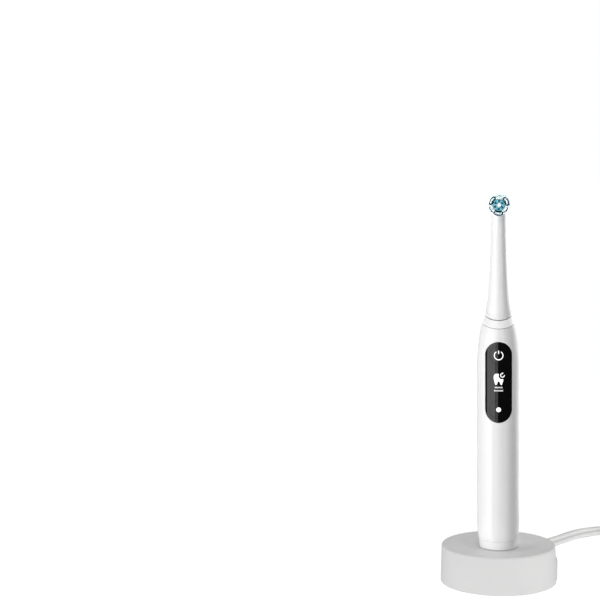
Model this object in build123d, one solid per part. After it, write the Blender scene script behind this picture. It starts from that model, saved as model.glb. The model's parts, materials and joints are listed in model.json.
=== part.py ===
from build123d import *
import os
from math import cos, radians, sin, tan

# Electric toothbrush standing on its inductive charger, with the twin mains lead and plug.
# Millimetres. +Z is up, the bristles and the dark panel face -Y, and the origin is on the brush
# axis at the charger's underside.

# Clearances
SEAT_GAP = 0.05
FIT_GAP = 0.15
MOVE_GAP = 0.3
SHAFT_GAP = 0.08

# Charger housing: a round puck on an egg-shaped base, whose tip holds the cable outlet
CHARGER_HEIGHT = 24.8
PUCK_RADIUS = 37.0
PUCK_DRAFT = 2.0
HOUSING_WALL = 2.0
RIM_ROUND = 1.6
FOOT_ROUND = 0.6
DISH_RADIUS = 26.0
DISH_DEPTH = 2.0
NUB_RADIUS = 10.5
NUB_HEIGHT = 2.7
NUB_ROUND = 1.2
SEAT_WIDTH = 3.0
LEDGE_HEIGHT = 13.0
LEDGE_ROUND = 1.2
BASE_FRONT = 37.1
BASE_REACH = 50.5
BASE_HALF_WIDTH = 36.6
TIP_ANGLE = 75.0

# Charger underside
PLATE_THICKNESS = 2.4
RECESS_DEPTH = 1.0
COVER_THICKNESS = 0.6
BARREL_HALF_WIDTH = 25.3
BARREL_LENGTH = 52.0
BARREL_BULGE = 39.4
TAB_LENGTH = 9.5
TAB_WIDTH = 30.0
TAB_TIP_WIDTH = 19.0

# Charger insides
BOARD_STAND = 5.1
CHARGER_BOARD_RADIUS = 27.0
CHARGER_BOARD_THICKNESS = 1.6
POST_RADIUS = 2.5
POST_CIRCLE = 22.0
POST_COUNT = 3
SCREW_RADIUS = 1.0
SCREW_LENGTH = 5.6
SCREW_HEAD_RADIUS = 1.9
SCREW_HEAD_HEIGHT = 1.2
PRIMARY_INNER = 12.0
PRIMARY_OUTER = 18.0
PRIMARY_HEIGHT = 4.0
CORE_PLATE = 1.5
POLE_RADIUS = 7.2
DOCK_MAGNET_RADIUS = 4.0
DOCK_MAGNET_HEIGHT = 2.0
CHOKE_SIZE = (9.0, 7.0)
CHOKE_PLACE = (-8.0, 3.0)
CAPACITOR_RADIUS = 3.4
CAPACITOR_PLACE = (6.0, 9.0)
DRIVER_SIZE = (6.0, 5.0)
DRIVER_PLACE = (5.0, -6.0)
RESISTOR_SIZE = (3.0, 1.6)
RESISTOR_PLACES = [(-3.0, -9.0), (-9.0, -8.0)]

# Mains lead: flat twin cord
CORD_WIDTH = 7.2
CORD_THICKNESS = 3.6
OUTLET_WIDTH = 12.4
OUTLET_HEIGHT = 5.8
CORD_EXIT_Z = 5.6
CLAMP_INSET = 9.5
CLAMP_LENGTH = 6.0
CLAMP_HEIGHT = 1.8
CLAMP_SCREW_SPACING = 14.0
CORD_ROUTE = [
    (9.8, 36.7, 5.6),
    (16.3, 60.9, 5.6),
    (27.5, 81.0, 3.7),
    (40.1, 99.0, 1.9),
    (57.7, 120.8, 1.9),
    (83.4, 138.1, 1.9),
    (112.0, 143.1, 2.2),
    (137.0, 135.9, 2.6),
]
TAIL_ROUTE = [
    (167.2, 95.8, 10.0),
    (166.9, 81.4, 8.6),
    (165.7, 67.0, 6.85),
    (165.7, 53.0, 6.85),
]
COIL_CENTRE = (125.5, 95.8)
COIL_RADIUS = 38.0
COIL_PITCH = 7.4
COIL_LAYER = 3.7
COIL_LANES = 2
COIL_LAYERS = 3
TIE_THICKNESS = 0.8
TIE_WIDTH = 8.0
TIE_ANGLE = 300.0

# Plug with two round pins
PLUG_WIDTH = 35.3
PLUG_THICKNESS = 13.7
PLUG_LENGTH = 34.0
PLUG_WAIST = 0.55
PLUG_CORNER = 5.0
PLUG_TAIL_WIDTH = 14.0
PLUG_TAIL_THICKNESS = 10.0
PLUG_RELIEF_LENGTH = 20.0
RELIEF_TIP_WALL = 1.0
RELIEF_SOCKET = 4.0
PIN_RADIUS = 2.0
PIN_LENGTH = 19.0
PIN_SPACING = 18.6
PIN_ROOT = 6.0
PIN_ROOT_RADIUS = 1.6
PIN_TIP_ROUND = 0.6

# Handle outside
HANDLE_RADIUS = 13.65
SHELL_WALL = 1.8
CAP_HEIGHT = 5.7
CAP_FOOT_RADIUS = 12.1
CAP_SEAM_RADIUS = 12.55
CAP_ROUND = 1.0
CAP_ROOF = 1.0
TAPER_HEIGHT = 10.3
SHOULDER_HEIGHT = 27.0
SHOULDER_PULL = 15.0
SHOULDER_RADIUS = 11.05
RING_HEIGHT = 6.0
RING_TOP_RADIUS = 9.2

# Face panel with two round buttons and the display between them
PANEL_WIDTH = 16.9
PANEL_LENGTH = 52.1
PANEL_DROP = 34.45
PANEL_THICKNESS = 1.0
BUTTON_RADIUS = 5.8
BUTTON_SPACING = 35.05
BUTTON_THICKNESS = 1.2
BUTTON_DISH = 0.1
BUTTON_TRAVEL = 0.5
PLUNGER_RADIUS = 1.5
DISPLAY_WIDTH = 11.6
DISPLAY_LENGTH = 15.0
DISPLAY_DEPTH = 2.8

# Handle insides, from the bottom up
SPIGOT_RADIUS = 10.9
SPIGOT_WALL = 2.0
SPIGOT_LENGTH = 5.8
SEAL_SECTION = 0.68
RECEIVER_INNER = 3.5
RECEIVER_HEIGHT = 2.4
RECEIVER_CORE = 1.6
CHASSIS_WALL = 1.1
BULKHEAD = 1.6
BATTERY_RADIUS = 7.0
BATTERY_LENGTH = 50.0
BATTERY_STUD_RADIUS = 2.6
BATTERY_STUD_HEIGHT = 1.0
MOTOR_RADIUS = 7.0
MOTOR_LENGTH = 50.0
MOTOR_WALL = 0.8
MOTOR_CAP = 2.0
STATOR_LENGTH = 16.0
MOVER_RADIUS = 4.2
MOVER_LENGTH = 20.0
SPRING_RADIUS = 3.0
SPRING_WIRE = 0.4
SPRING_TURNS = 5
SHAFT_RADIUS = 1.5
STROKE = 0.8
BOARD_WIDTH = 12.0
BOARD_THICKNESS = 1.0
CONTROLLER = (6.0, 6.0, 1.0)
CHARGE_CHIP = (4.0, 4.0, 0.9)
CHARGE_CHIP_X = 2.5
RADIO_MODULE = (8.0, 10.0, 1.6)
BOARD_PLUG = (7.0, 3.0, 1.8)
CHIP_RESISTOR = (1.6, 0.8, 0.6)
CHIP_RESISTOR_X = 4.2
SWITCH_SIZE = 4.2
SWITCH_HEIGHT = 1.6
NOSE_RADIUS = 7.4
NOSE_DEPTH = 10.6
FLANGE_RADIUS = 9.0
FLANGE_THICKNESS = 1.2
LIGHT_BOARD_THICKNESS = 0.8
LIGHT_COUNT = 8
POST_TOP_RADIUS = 3.6
POST_RISE = 7.0
BUSH_RADIUS = 2.6
BUSH_LENGTH = 6.0
SHAFT_SEAL_HEIGHT = 1.2
SHAFT_REACH = 21.0

# Brush head
NECK_FOOT_RADIUS = 8.9
NECK_FLARE_HEIGHT = 28.0
NECK_FLARE_RADIUS = 5.75
NECK_LENGTH = 66.0
NECK_TOP_RADIUS = 4.5
NECK_BORE = 2.9
NECK_WALL = 1.5
POCKET_DEPTH = 9.0
COLLAR_HEIGHT = 3.0
DIMPLE_RISE = 5.2
DIMPLE_RADIUS = 0.8
HEAD_RISE = 73.4
HEAD_RADIUS = 6.3
HEAD_BACK = 4.2
HEAD_FRONT = 3.6
HEAD_ROUND = 2.2
HEAD_CAVITY_RADIUS = 5.3
HEAD_CAVITY_BACK = 1.9
CARRIER_RADIUS = 7.0
CARRIER_THICKNESS = 3.7
CARRIER_ROUND = 0.6
HUB_RADIUS = 4.4
HUB_DEPTH = 2.2
AXLE_RADIUS = 0.9
AXLE_TIP = 2.0
CRANK_OFFSET = 3.0
CRANK_RADIUS = 0.6
CRANK_REACH = 1.6
ARM_WIDTH = 1.3
ARM_THICKNESS = 1.2
ARM_HEIGHT = 8.5
ROD_RADIUS = 0.9
COUPLER_WALL = 1.0
COUPLER_LENGTH = 11.0
COUPLER_GRIP = 8.0

# Tufts on the bristle carrier
BRISTLE_LENGTH = 8.4
LOOP_COUNT = 3
LOOP_TURN = 30.0
LOOP_CIRCLE = 5.15
LOOP_WIDTH = 2.7
LOOP_SPAN = 40.0
LOOP_BAND = 0.65
ARC_CIRCLE = 5.6
ARC_WIDTH = 1.5
ARC_SPAN = 26.0
SPOT_COUNT = 6
SPOT_CIRCLE = 2.7
SPOT_RADIUS = 0.68
CENTRE_RADIUS = 1.3

# Heights that follow from the sizes above
SEAT_Z = CHARGER_HEIGHT - DISH_DEPTH
NUB_TOP_Z = SEAT_Z + NUB_HEIGHT
CEILING_Z = SEAT_Z - HOUSING_WALL
CHARGER_BOARD_Z = PLATE_THICKNESS + BOARD_STAND
CAP_ROOF_Z = SEAT_Z + NUB_HEIGHT + MOVE_GAP
CAP_FLOOR_Z = CAP_ROOF_Z + CAP_ROOF
SEAM_Z = SEAT_Z + CAP_HEIGHT
SPIGOT_TOP_Z = SEAM_Z + SPIGOT_LENGTH
LAND_Z = SPIGOT_TOP_Z + SEAT_GAP
CHASSIS_Z = LAND_Z + SEAT_GAP
BATTERY_Z = CHASSIS_Z + BULKHEAD + SEAT_GAP
MID_BULKHEAD_Z = BATTERY_Z + BATTERY_LENGTH + BATTERY_STUD_HEIGHT + SEAT_GAP
MOTOR_Z = MID_BULKHEAD_Z + BULKHEAD + SEAT_GAP
TOP_BULKHEAD_Z = MOTOR_Z + MOTOR_LENGTH + SEAT_GAP
CHASSIS_TOP_Z = TOP_BULKHEAD_Z + BULKHEAD
GRIP_Z = SEAM_Z + TAPER_HEIGHT
SHOULDER_Z = CHASSIS_TOP_Z + MOVE_GAP
RING_Z = SHOULDER_Z + SHOULDER_HEIGHT
NOSE_Z = RING_Z + RING_HEIGHT
PANEL_Z = RING_Z - PANEL_DROP
POWER_Z = PANEL_Z + BUTTON_SPACING / 2
MODE_Z = PANEL_Z - BUTTON_SPACING / 2
MOVER_Z = MOTOR_Z + MOTOR_LENGTH / 2
HEAD_Z = NOSE_Z + HEAD_RISE
POST_TOP_Z = NOSE_Z + POST_RISE
SHAFT_TOP_Z = NOSE_Z + SHAFT_REACH

# Radii and depths that follow
PUCK_FOOT_RADIUS = PUCK_RADIUS + CHARGER_HEIGHT * tan(radians(PUCK_DRAFT))
BASE_HALF_LENGTH = (BASE_FRONT + BASE_REACH) / 2
BASE_OFFSET = (BASE_REACH - BASE_FRONT) / 2
CLAMP_REACH = BASE_REACH - CLAMP_INSET
CAVITY_RADIUS = PUCK_RADIUS - HOUSING_WALL
SHELL_BORE = SPIGOT_RADIUS + FIT_GAP
SPIGOT_INNER = SPIGOT_RADIUS - SPIGOT_WALL
CHASSIS_RADIUS = HANDLE_RADIUS - SHELL_WALL - MOVE_GAP
BATTERY_Y = CHASSIS_RADIUS - CHASSIS_WALL - BATTERY_RADIUS - SEAT_GAP
BOARD_BACK_Y = -MOTOR_RADIUS - MOVE_GAP
BOARD_FRONT_Y = BOARD_BACK_Y - BOARD_THICKNESS
SWITCH_TOP_Y = BOARD_FRONT_Y - SWITCH_HEIGHT
PLUNGER_Y = SWITCH_TOP_Y - BUTTON_TRAVEL - SEAT_GAP
CARRIER_BACK_Y = -HEAD_FRONT - MOVE_GAP
CARRIER_FRONT_Y = CARRIER_BACK_Y - CARRIER_THICKNESS
HUB_BACK_Y = CARRIER_BACK_Y + HUB_DEPTH
PILOT_RADIUS = SCREW_RADIUS + SEAT_GAP
FRONT_DEPTH = 2 * HANDLE_RADIUS
PLUG_AXIS = TAIL_ROUTE[-1]


def turned(*points):
    """Solid turned about the brush axis from (radius, z) or (radius, z, corner round) points."""
    corners = [(point[0], 0, point[1]) for point in points]
    rounds = [point[2] if len(point) > 2 else 0 for point in points]
    outline = FilletPolyline(*corners, radius=rounds, close=True)
    return revolve(make_face(outline.edges()), Axis.Z)


def disc(radius, low, high, x=0.0, y=0.0):
    return Pos(x, y, (low + high) / 2) * Cylinder(radius, high - low)


def ring(outer, inner, low, high, x=0.0, y=0.0):
    return disc(outer, low, high, x, y) - disc(inner, low, high, x, y)


def block(x_size, y_size, low, high, x=0.0, y=0.0):
    return Pos(x, y, (low + high) / 2) * Box(x_size, y_size, high - low)


def front_plane(z, y=0.0):
    """Sketch plane facing the front, with its own x to the right and its own y up."""
    return Plane(origin=(0, y, z), x_dir=(1, 0, 0), z_dir=(0, -1, 0))


def front_prism(sketch, z, y_from=0.0, y_to=-FRONT_DEPTH):
    return extrude(front_plane(z, y_from) * sketch, y_from - y_to)


def towards_tip(shape):
    """Turn a shape built along +X to the direction in which the lead leaves the charger."""
    return Rot(0, 0, TIP_ANGLE) * shape


def base_outline(inset):
    """Egg-shaped plan of the charger, pulled in by inset."""
    return Pos(BASE_OFFSET, 0) * Ellipse(BASE_HALF_LENGTH - inset, BASE_HALF_WIDTH - inset)


def base_solid():
    egg = extrude(base_outline(0), LEDGE_HEIGHT)
    egg = fillet(egg.edges().group_by(Axis.Z)[-1], LEDGE_ROUND)
    egg = fillet(egg.edges().group_by(Axis.Z)[0], FOOT_ROUND)
    return towards_tip(egg)


def outlet_prism(width, height, start, end):
    """Oblong prism along the lead's exit, between two distances from the brush axis."""
    across = Plane(origin=(start, 0, CORD_EXIT_Z), x_dir=(0, 1, 0), z_dir=(1, 0, 0))
    return towards_tip(extrude(across * SlotOverall(width, height), end - start))


def dish_cut():
    """Shallow round dish in the puck's top, flat where the handle stands."""
    seat_edge = NUB_RADIUS + SEAT_WIDTH
    slope = DISH_RADIUS - seat_edge
    edges = [
        Line((0, 0, CHARGER_HEIGHT), (DISH_RADIUS, 0, CHARGER_HEIGHT)),
        Bezier(
            (DISH_RADIUS, 0, CHARGER_HEIGHT),
            (DISH_RADIUS - slope / 2, 0, CHARGER_HEIGHT),
            (seat_edge + slope / 2, 0, SEAT_Z),
            (seat_edge, 0, SEAT_Z),
        ),
        Line((seat_edge, 0, SEAT_Z), (0, 0, SEAT_Z)),
        Line((0, 0, SEAT_Z), (0, 0, CHARGER_HEIGHT)),
    ]
    return revolve(make_face(edges), Axis.Z)


def charger_housing():
    puck = turned(
        (0, 0),
        (PUCK_FOOT_RADIUS, 0, FOOT_ROUND),
        (PUCK_RADIUS, CHARGER_HEIGHT, RIM_ROUND),
        (0, CHARGER_HEIGHT),
    )
    nub = turned((0, CEILING_Z), (NUB_RADIUS, CEILING_Z), (NUB_RADIUS, NUB_TOP_Z, NUB_ROUND), (0, NUB_TOP_Z))
    # The start of the puck's round wall lies opposite the tip
    solid = towards_tip(Rot(0, 0, 180) * puck) + base_solid() - dish_cut() + nub
    solid -= disc(CAVITY_RADIUS, 0, CEILING_Z)
    solid -= towards_tip(extrude(base_outline(HOUSING_WALL), LEDGE_HEIGHT - HOUSING_WALL))
    solid -= disc(NUB_RADIUS - HOUSING_WALL, CEILING_Z, NUB_TOP_Z - HOUSING_WALL)
    solid -= outlet_prism(OUTLET_WIDTH, OUTLET_HEIGHT, CAVITY_RADIUS, BASE_REACH + HOUSING_WALL)
    return solid


def plate_outline():
    return Circle(CAVITY_RADIUS - FIT_GAP) + base_outline(HOUSING_WALL + FIT_GAP)


def barrel_outline(gap):
    """Barrel-shaped panel on the underside, centred on the egg."""
    barrel = Ellipse(BARREL_BULGE - gap, BARREL_HALF_WIDTH - gap)
    barrel &= Rectangle(BARREL_LENGTH - 2 * gap, 2 * BARREL_HALF_WIDTH)
    return Pos(BASE_OFFSET, 0) * barrel


def tab_outline(side):
    """Finger recess at one end of the barrel panel."""
    root = BARREL_LENGTH / 2
    tip = root + TAB_LENGTH
    corners = [
        (side * root, -TAB_WIDTH / 2),
        (side * root, TAB_WIDTH / 2),
        (side * tip, TAB_TIP_WIDTH / 2),
        (side * tip, -TAB_TIP_WIDTH / 2),
    ]
    return Pos(BASE_OFFSET, 0) * make_face(Polyline(*corners, close=True).edges())


def board_posts():
    """Plan places of the posts that carry the charger's board."""
    turns = [TIP_ANGLE + 180 + 360 / POST_COUNT * step for step in range(POST_COUNT)]
    return [(POST_CIRCLE * cos(radians(turn)), POST_CIRCLE * sin(radians(turn))) for turn in turns]


def clamp_posts():
    """Plan places of the two posts beside the lead."""
    along = Vector(cos(radians(TIP_ANGLE)), sin(radians(TIP_ANGLE)))
    across = Vector(-along.Y, along.X)
    half = CLAMP_SCREW_SPACING / 2
    places = [along * CLAMP_REACH + across * half * side for side in (-1, 1)]
    return [(place.X, place.Y) for place in places]


def clamp_seat_z():
    return CORD_EXIT_Z + CORD_THICKNESS / 2 + SEAT_GAP


def charger_base_plate():
    plate = towards_tip(extrude(plate_outline(), PLATE_THICKNESS))
    plate -= towards_tip(extrude(barrel_outline(0), RECESS_DEPTH))
    for side in (-1, 1):
        plate -= towards_tip(extrude(tab_outline(side), RECESS_DEPTH))
    saddle_top = CORD_EXIT_Z - CORD_THICKNESS / 2 - SEAT_GAP
    plate += towards_tip(block(CLAMP_LENGTH, CORD_WIDTH, PLATE_THICKNESS, saddle_top, CLAMP_REACH))
    stands = [(place, CHARGER_BOARD_Z) for place in board_posts()]
    stands += [(place, clamp_seat_z()) for place in clamp_posts()]
    for (x, y), top in stands:
        plate += ring(POST_RADIUS, PILOT_RADIUS, PLATE_THICKNESS, top, x, y)
    return plate


def charger_bottom_cover():
    panel = extrude(barrel_outline(FIT_GAP), COVER_THICKNESS)
    return towards_tip(Pos(0, 0, RECESS_DEPTH - COVER_THICKNESS) * panel)


def charger_coil():
    top = CEILING_Z - SEAT_GAP
    return ring(PRIMARY_OUTER, PRIMARY_INNER, top - PRIMARY_HEIGHT, top)


def core_plate_z():
    return CEILING_Z - 2 * SEAT_GAP - PRIMARY_HEIGHT - CORE_PLATE


def dock_magnet_z():
    return NUB_TOP_Z - HOUSING_WALL - SEAT_GAP - DOCK_MAGNET_HEIGHT


def charger_core():
    low = core_plate_z()
    plate = disc(PRIMARY_OUTER, low, low + CORE_PLATE)
    return plate + disc(POLE_RADIUS, low, dock_magnet_z() - SEAT_GAP)


def charger_magnet():
    return disc(DOCK_MAGNET_RADIUS, dock_magnet_z(), dock_magnet_z() + DOCK_MAGNET_HEIGHT)


def charger_board():
    low = CHARGER_BOARD_Z + SEAT_GAP
    board = disc(CHARGER_BOARD_RADIUS, low, low + CHARGER_BOARD_THICKNESS)
    for x, y in board_posts():
        board -= disc(PILOT_RADIUS, low, low + CHARGER_BOARD_THICKNESS, x, y)
    return board


def charger_board_parts():
    """Smoothing capacitor, choke, driver chip and two small parts, under the core."""
    low = CHARGER_BOARD_Z + SEAT_GAP + CHARGER_BOARD_THICKNESS
    room = core_plate_z() - low
    parts = [
        block(*CHOKE_SIZE, low, low + room * 0.8, *CHOKE_PLACE),
        disc(CAPACITOR_RADIUS, low, low + room * 0.85, *CAPACITOR_PLACE),
        block(*DRIVER_SIZE, low, low + room * 0.4, *DRIVER_PLACE),
    ]
    for place in RESISTOR_PLACES:
        parts.append(block(*RESISTOR_SIZE, low, low + room * 0.3, *place))
    return parts


def screw(x, y, seat):
    """Pan-head screw whose head sits on the given height."""
    head = turned(
        (0, seat),
        (SCREW_HEAD_RADIUS, seat),
        (SCREW_HEAD_RADIUS, seat + SCREW_HEAD_HEIGHT, SCREW_HEAD_HEIGHT / 2),
        (0, seat + SCREW_HEAD_HEIGHT),
    )
    cross = block(SCREW_RADIUS * 2, SCREW_RADIUS / 2, seat + SCREW_HEAD_HEIGHT / 2, seat + SCREW_HEAD_HEIGHT)
    body = head + disc(SCREW_RADIUS, seat - SCREW_LENGTH, seat) - cross - Rot(0, 0, 90) * cross
    return Pos(x, y, 0) * body


def charger_screws():
    board_seat = CHARGER_BOARD_Z + CHARGER_BOARD_THICKNESS + 2 * SEAT_GAP
    clamp_seat = clamp_seat_z() + CLAMP_HEIGHT + 2 * SEAT_GAP
    screws = [screw(x, y, board_seat) for x, y in board_posts()]
    screws += [screw(x, y, clamp_seat) for x, y in clamp_posts()]
    return screws


def cord_clamp():
    low = clamp_seat_z() + SEAT_GAP
    width = CLAMP_SCREW_SPACING + 2 * POST_RADIUS
    bar = towards_tip(block(CLAMP_LENGTH, width, low, low + CLAMP_HEIGHT, CLAMP_REACH))
    for x, y in clamp_posts():
        bar -= disc(PILOT_RADIUS, low, low + CLAMP_HEIGHT, x, y)
    return bar


def cable_bush():
    """Oblong rubber bush that fills the outlet round the lead, just below the outer wall."""
    start = BASE_REACH - 2 * HOUSING_WALL
    bush = outlet_prism(OUTLET_WIDTH - 2 * FIT_GAP, OUTLET_HEIGHT - 2 * FIT_GAP, start, BASE_REACH)
    bush &= towards_tip(extrude(base_outline(MOVE_GAP), LEDGE_HEIGHT))
    hole = outlet_prism(CORD_WIDTH + 2 * FIT_GAP, CORD_THICKNESS + 2 * FIT_GAP, start, BASE_REACH)
    return bush - hole


def bend_radii(route):
    """Largest even bend at each inner point of a route."""
    points = [Vector(*point) for point in route]
    radii = []
    for before, here, after in zip(points, points[1:], points[2:]):
        run_in = here - before
        run_out = after - here
        half_turn = radians(run_in.get_angle(run_out)) / 2
        radii.append(0.45 * min(run_in.length, run_out.length) / tan(half_turn))
    return radii


def cord_tube(name, route):
    """Flat cord along straight runs joined by tangent arcs."""
    radii = bend_radii(route)
    path = FilletPolyline(*route, radius=radii)
    heading = path % 0
    section = Plane(path @ 0, x_dir=Vector(0, 0, 1).cross(heading), z_dir=heading)
    profile = SlotOverall(CORD_WIDTH, CORD_THICKNESS)
    tube = sweep(section * profile, path=path)
    print(name, "bend radii", [round(radius, 1) for radius in radii])
    print(name, "length", round(path.length, 1), "volume over section times length",
          round(tube.volume / (profile.area * path.length), 4))
    return tube


def coil_bounds():
    """Inner and outer radius, lowest and highest point of the coiled spare lead."""
    half_width = (COIL_LANES - 1) * COIL_PITCH / 2 + CORD_WIDTH / 2
    top = TIE_THICKNESS + (COIL_LAYERS - 1) * COIL_LAYER + CORD_THICKNESS
    return COIL_RADIUS - half_width, COIL_RADIUS + half_width, TIE_THICKNESS, top


def power_cord_coil():
    inner, outer, low, high = coil_bounds()
    return ring(outer, inner, low, high, *COIL_CENTRE)


def cord_tie():
    inner, outer, low, high = coil_bounds()
    along = outer - inner + 2 * MOVE_GAP
    rise = high + MOVE_GAP
    band = block(along + 2 * TIE_THICKNESS, TIE_WIDTH, 0, rise + TIE_THICKNESS, COIL_RADIUS)
    band -= block(along, TIE_WIDTH, low - SEAT_GAP, rise, COIL_RADIUS)
    return Pos(*COIL_CENTRE, 0) * Rot(0, 0, TIE_ANGLE) * band


def plug_place(distance):
    """Sketch plane across the plug, at a distance behind the lead's end and towards the pins."""
    x, y, z = PLUG_AXIS
    return Plane(origin=(x, y - distance, z), x_dir=(1, 0, 0), z_dir=(0, -1, 0))


def plug_back():
    return PLUG_RELIEF_LENGTH - RELIEF_SOCKET


def plug_body():
    back = plug_back()
    tail = RectangleRounded(PLUG_TAIL_WIDTH, PLUG_TAIL_THICKNESS, PLUG_CORNER * PLUG_WAIST)
    wide = RectangleRounded(PLUG_WIDTH, PLUG_THICKNESS, PLUG_CORNER)
    body = loft([plug_place(back) * tail, plug_place(back + PLUG_LENGTH * PLUG_WAIST) * wide])
    body += extrude(plug_place(back + PLUG_LENGTH * PLUG_WAIST) * wide, PLUG_LENGTH * (1 - PLUG_WAIST))
    for side in (-1, 1):
        body -= pin_length(side, PIN_ROOT_RADIUS + SEAT_GAP, -PIN_ROOT, 0)
    return body


def pin_length(side, radius, start, end):
    """Stretch of one pin, measured from the plug's face."""
    face = plug_place(plug_back() + PLUG_LENGTH + start)
    return extrude(face * Pos(side * PIN_SPACING / 2, 0) * Circle(radius), end - start)


def plug_pins():
    """Round pins with a rounded tip and a thinner root moulded into the plug."""
    pins = []
    for side in (-1, 1):
        pin = pin_length(side, PIN_RADIUS, 0, PIN_LENGTH)
        pin = fillet(pin.edges().group_by(Axis.Y)[0], PIN_RADIUS * PIN_TIP_ROUND)
        pins.append(pin + pin_length(side, PIN_ROOT_RADIUS, SEAT_GAP - PIN_ROOT, 0))
    return pins


def plug_relief():
    """Tapered sleeve behind the plug, with a socket for the lead's end."""
    tip = SlotOverall(CORD_WIDTH + 2 * RELIEF_TIP_WALL, CORD_THICKNESS + 2 * RELIEF_TIP_WALL)
    root = SlotOverall(PLUG_TAIL_WIDTH - RELIEF_TIP_WALL, PLUG_TAIL_THICKNESS - RELIEF_TIP_WALL)
    sleeve = loft([plug_place(-RELIEF_SOCKET) * tip, plug_place(plug_back()) * root])
    hole = SlotOverall(CORD_WIDTH + 2 * FIT_GAP, CORD_THICKNESS + 2 * FIT_GAP)
    return sleeve - extrude(plug_place(-RELIEF_SOCKET) * hole, RELIEF_SOCKET)


def handle_blank(inset, low=SEAM_Z, high=RING_Z):
    """Handle's turned outside from the cap seam to the light ring, pulled in by inset."""
    grip = HANDLE_RADIUS - inset
    foot = CAP_SEAM_RADIUS - inset
    top = SHOULDER_RADIUS - inset
    edges = [
        Line((0, 0, SEAM_Z), (foot, 0, SEAM_Z)),
        Bezier((foot, 0, SEAM_Z), (grip, 0, SEAM_Z + TAPER_HEIGHT * 0.4), (grip, 0, GRIP_Z)),
        Line((grip, 0, GRIP_Z), (grip, 0, SHOULDER_Z)),
        Bezier((grip, 0, SHOULDER_Z), (grip, 0, SHOULDER_Z + SHOULDER_PULL), (top, 0, RING_Z)),
        Line((top, 0, RING_Z), (0, 0, RING_Z)),
        Line((0, 0, RING_Z), (0, 0, SEAM_Z)),
    ]
    blank = revolve(make_face(edges), Axis.Z)
    if (low, high) != (SEAM_Z, RING_Z):
        blank &= disc(2 * HANDLE_RADIUS, low, high)
    return blank


def panel_outline(gap):
    return SlotOverall(PANEL_LENGTH + 2 * gap, PANEL_WIDTH + 2 * gap, rotation=90)


def handle_shell():
    shell = handle_blank(0) - handle_blank(SHELL_WALL, LAND_Z, RING_Z) - disc(SHELL_BORE, SEAM_Z, LAND_Z)
    pocket = handle_blank(0) - handle_blank(PANEL_THICKNESS)
    shell -= pocket & front_prism(panel_outline(FIT_GAP), PANEL_Z)
    for height in (POWER_Z, MODE_Z):
        shell -= front_prism(Circle(BUTTON_RADIUS + MOVE_GAP), height)
    window = Rectangle(DISPLAY_WIDTH + 2 * MOVE_GAP, DISPLAY_LENGTH + 2 * MOVE_GAP)
    return shell - front_prism(window, PANEL_Z)


def face_panel():
    panel = handle_blank(0) - handle_blank(PANEL_THICKNESS - SEAT_GAP)
    panel &= front_prism(panel_outline(0), PANEL_Z)
    for height in (POWER_Z, MODE_Z):
        panel -= front_prism(Circle(BUTTON_RADIUS + FIT_GAP), height)
    return panel


def button(height):
    """Round button cap, flush with the panel, with a plunger that reaches towards its switch."""
    skin = handle_blank(BUTTON_DISH) - handle_blank(BUTTON_DISH + BUTTON_THICKNESS)
    cap = skin & front_prism(Circle(BUTTON_RADIUS), height)
    plunger = front_prism(Circle(PLUNGER_RADIUS), height, PLUNGER_Y)
    plunger &= handle_blank(BUTTON_DISH + BUTTON_THICKNESS / 2)
    return cap + plunger


def bottom_cap():
    cavity = NUB_RADIUS + MOVE_GAP
    groove = SHELL_BORE - 2 * SEAL_SECTION - 2 * SEAT_GAP
    groove_low = SEAM_Z + SPIGOT_LENGTH / 2 - SEAL_SECTION - SEAT_GAP
    groove_high = SEAM_Z + SPIGOT_LENGTH / 2 + SEAL_SECTION + SEAT_GAP
    return turned(
        (cavity, SEAT_Z),
        (CAP_FOOT_RADIUS, SEAT_Z, CAP_ROUND),
        (CAP_SEAM_RADIUS, SEAM_Z - SEAT_GAP),
        (SPIGOT_RADIUS, SEAM_Z - SEAT_GAP),
        (SPIGOT_RADIUS, groove_low),
        (groove, groove_low),
        (groove, groove_high),
        (SPIGOT_RADIUS, groove_high),
        (SPIGOT_RADIUS, SPIGOT_TOP_Z),
        (SPIGOT_INNER, SPIGOT_TOP_Z),
        (SPIGOT_INNER, CAP_FLOOR_Z),
        (0, CAP_FLOOR_Z),
        (0, CAP_ROOF_Z),
        (cavity, CAP_ROOF_Z),
    )


def bottom_seal():
    centre = SHELL_BORE - SEAL_SECTION - SEAT_GAP
    return Pos(0, 0, SEAM_Z + SPIGOT_LENGTH / 2) * Torus(centre, SEAL_SECTION)


def receiver_coil():
    low = CAP_FLOOR_Z + SEAT_GAP
    return ring(SPIGOT_INNER - FIT_GAP, RECEIVER_INNER, low, low + RECEIVER_HEIGHT)


def handle_magnet():
    low = CAP_FLOOR_Z + SEAT_GAP
    return disc(RECEIVER_INNER - FIT_GAP, low, low + RECEIVER_HEIGHT)


def receiver_core():
    low = CAP_FLOOR_Z + 2 * SEAT_GAP + RECEIVER_HEIGHT
    return disc(SPIGOT_INNER - FIT_GAP, low, low + RECEIVER_CORE)


def chassis():
    """Half tube along the back of the handle, with three bulkheads that reach the main board."""
    reach = 2 * HANDLE_RADIUS
    before_board = BOARD_BACK_Y + SEAT_GAP - reach / 2
    frame = disc(CHASSIS_RADIUS, CHASSIS_Z, CHASSIS_TOP_Z)
    frame -= block(2 * reach, reach, CHASSIS_Z, CHASSIS_TOP_Z, 0, before_board)
    bays = [(CHASSIS_Z + BULKHEAD, MID_BULKHEAD_Z), (MID_BULKHEAD_Z + BULKHEAD, TOP_BULKHEAD_Z)]
    for low, high in bays:
        frame -= disc(CHASSIS_RADIUS - CHASSIS_WALL, low, high)
        frame -= block(2 * reach, reach, low, high, 0, -reach / 2)
    return frame - disc(SHAFT_RADIUS + MOVE_GAP, MID_BULKHEAD_Z, CHASSIS_TOP_Z)


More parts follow.
